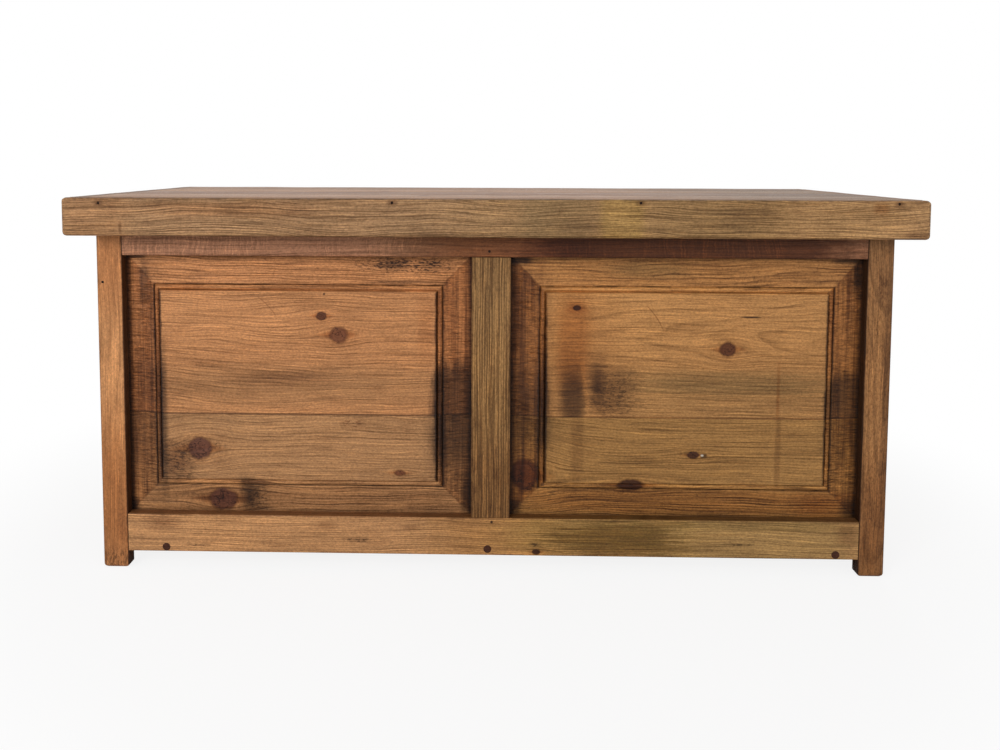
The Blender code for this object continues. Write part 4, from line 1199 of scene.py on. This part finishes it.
PLUG_SPOTS = ((-0.481, 0.0333), (-0.004, 0.0358), (0.505, 0.0335))
plug = round_head("plug", radius=0.0058, rise=0.0002, dome=0.0003, sink=0.004)
plug_wood = Board("front_bottom_rail", "XZ", 77.0, KNOT_DARK, ring=0.0012, heart=(0.0, 0.02)).finish()
plug_wood.name = "plug_wood"
front_spots = at_depth(PLUG_SPOTS, FRAME_FACE)
back_spots = at_depth(PLUG_SPOTS, -FRAME_FACE)
spread(plug, "front_plug", front_spots, TO_FRONT, "body", "frame_pine", plug_wood)
spread(plug, "back_plug", back_spots, TO_BACK, "body", "frame_pine", plug_wood)
bpy.data.objects.remove(plug)

NAIL_SPOTS = ((0.002, 0.0767), (-0.567, 0.429), (-0.003, 0.477))
FLOOR_NAIL_SHARES = (0.2, 0.8)  # of a floor board's width
nail = round_head("nail", radius=0.0019, rise=0.0001, dome=0.0002, sink=0.006)
frame_spots = at_depth(NAIL_SPOTS, FRAME_FACE)
spread(nail, "front_nail", frame_spots, TO_FRONT, "body", "hinge_steel", iron)
hole_spots = at_depth(LID_NAIL_SPOTS, LID_FACE + NAIL_HOLE_DEPTH)
spread(nail, "lid_nail", hole_spots, TO_FRONT, "lid", "hinge_steel", iron)
floor_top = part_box("floor_board_1")[1].z
floor_spots = []
for place in PLACES:
    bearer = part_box(f"floor_bearer_{place}")
    for count in range(1, 5):
        board_low, board_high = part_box(f"floor_board_{count}")
        for share in FLOOR_NAIL_SHARES:
            y = board_low.y + (board_high.y - board_low.y) * share
            floor_spots.append(((bearer[0].x + bearer[1].x) / 2, y, floor_top))
spread(nail, "floor_nail", floor_spots, TO_TOP, "body", "hinge_steel", iron)
bpy.data.objects.remove(nail)

HINGE_MIDDLES = (-0.420, 0.0, 0.420)
HINGE_AXIS = (0.2403, 0.4942)
SCREW_SPACING = 0.026
SCREW_DISTANCE = 0.015  # from the pin's axis to a leaf's screws
LEAF_FACE = 0.0025  # from the pin's axis to a leaf's face
BATTEN_SCREW_ROWS = (-0.150, -0.061, 0.061, 0.150)
brass = metal_finish("screw_brass", (0.210, 0.150, 0.080), (0.380, 0.290, 0.170), 0.38)
screw = round_head("screw", radius=0.0034, rise=0.0001, dome=0.00012, sink=0.005)
cut_slot(screw, width=0.0007, depth=0.00016)
axis_y, axis_z = HINGE_AXIS
screw_places = [x + step * SCREW_SPACING for x in HINGE_MIDDLES for step in (-1, 0, 1)]
body_leaf_spots = [(x, axis_y - LEAF_FACE, axis_z - SCREW_DISTANCE) for x in screw_places]
lid_leaf_spots = [(x, axis_y + SCREW_DISTANCE, axis_z + LEAF_FACE) for x in screw_places]
spread(screw, "hinge_body_screw", body_leaf_spots, TO_BACK, "body", "hinge_steel", brass)
spread(screw, "hinge_lid_screw", lid_leaf_spots, TO_GROUND, "lid", "hinge_steel", brass)
batten_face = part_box("lid_batten_left")[0].z
batten_spots = []
for place in PLACES:
    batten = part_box(f"lid_batten_{place}")
    for y in BATTEN_SCREW_ROWS:
        batten_spots.append(((batten[0].x + batten[1].x) / 2, y, batten_face))
spread(screw, "batten_screw", batten_spots, TO_GROUND, "lid", "hinge_steel", brass)
bpy.data.objects.remove(screw)

# Floor, light and camera
FLOOR_SIZE = 30.0
FLOOR_WHITE = 0.92
SHADE_SHARE = 0.14  # share of the floor's own shading that the camera sees beside the trunk
SHADE_REACH = (0.65, 1.1)  # distances over which that share fades to plain white
AMBIENT = 0.42
LAMP_SIZE = 1.6
bpy.ops.object.select_all(action="DESELECT")
bpy.ops.mesh.primitive_plane_add(size=FLOOR_SIZE, location=(0, 0, 0))
floor = bpy.context.object
rename(floor, "floor")
floor_finish = bpy.data.materials.new("white_floor")
floor_finish.use_nodes = True
tree = Tree(floor_finish.node_tree)
shader = tree.tree.nodes["Principled BSDF"]
shader.inputs["Base Color"].default_value = (FLOOR_WHITE, FLOOR_WHITE, FLOOR_WHITE, 1)
shader.inputs["Roughness"].default_value = 0.9
path = tree.add("ShaderNodeLightPath")
distance = tree.add("ShaderNodeVectorMath", operation="LENGTH")
tree.put(tree.add("ShaderNodeTexCoord").outputs["Object"], distance.inputs[0])
plain = tree.step(distance.outputs["Value"], *SHADE_REACH, 1 - SHADE_SHARE, 1.0)
blend = tree.add("ShaderNodeMixShader")
tree.put(tree.times(path.outputs["Is Camera Ray"], plain), blend.inputs[0])
tree.put(shader.outputs[0], blend.inputs[1])
tree.put(tree.add("ShaderNodeEmission").outputs[0], blend.inputs[2])
tree.put(blend.outputs[0], tree.tree.nodes["Material Output"].inputs["Surface"])
floor.data.materials.append(floor_finish)

world = bpy.data.worlds.new("studio")
bpy.context.scene.world = world
world.use_nodes = True
tree = Tree(world.node_tree)
path = tree.add("ShaderNodeLightPath")
seen = tree.calc("MAXIMUM", path.outputs["Is Camera Ray"], path.outputs["Is Glossy Ray"])
seen = tree.calc("MAXIMUM", seen, path.outputs["Is Transmission Ray"])
background = world.node_tree.nodes["Background"]
background.inputs["Color"].default_value = (1, 1, 1, 1)
tree.put(tree.times_plus(seen, 1 - AMBIENT, AMBIENT), background.inputs["Strength"])


def lamp(name, place, aim, power, glossy=True):
    """A round soft lamp that looks at a point, with or without its shine on glossy surfaces."""
    light = bpy.data.lights.new(name, "AREA")
    light.energy = power
    light.shape = "DISK"
    light.size = LAMP_SIZE
    holder = bpy.data.objects.new(name, light)
    bpy.context.scene.collection.objects.link(holder)
    holder.visible_glossy = glossy
    holder.location = place
    holder.rotation_euler = (Vector(aim) - Vector(place)).to_track_quat("-Z", "Y").to_euler()


lamp("key", (-1.6, -2.8, 1.7), aim=(0, 0, 0.25), power=52)
lamp("fill", (1.8, -2.4, 1.0), aim=(0, 0, 0.3), power=10)
lamp("back", (0.9, 2.9, 1.7), aim=(0, 0, 0.3), power=20, glossy=False)

camera = bpy.data.cameras.new("camera")
camera.lens = CAMERA_LENS
camera.sensor_width = CAMERA_SENSOR
camera.shift_x, camera.shift_y = CAMERA_SHIFT
holder = bpy.data.objects.new("camera", camera)
bpy.context.scene.collection.objects.link(holder)
turn = Matrix.Rotation(CAMERA_YAW, 4, "Z") @ Matrix.Rotation(math.pi / 2 + CAMERA_PITCH, 4, "X")
holder.matrix_world = Matrix.Translation(CAMERA_PLACE) @ turn @ Matrix.Rotation(CAMERA_ROLL, 4, "Z")
bpy.context.scene.camera = holder
bpy.context.scene.view_settings.view_transform = "Standard"
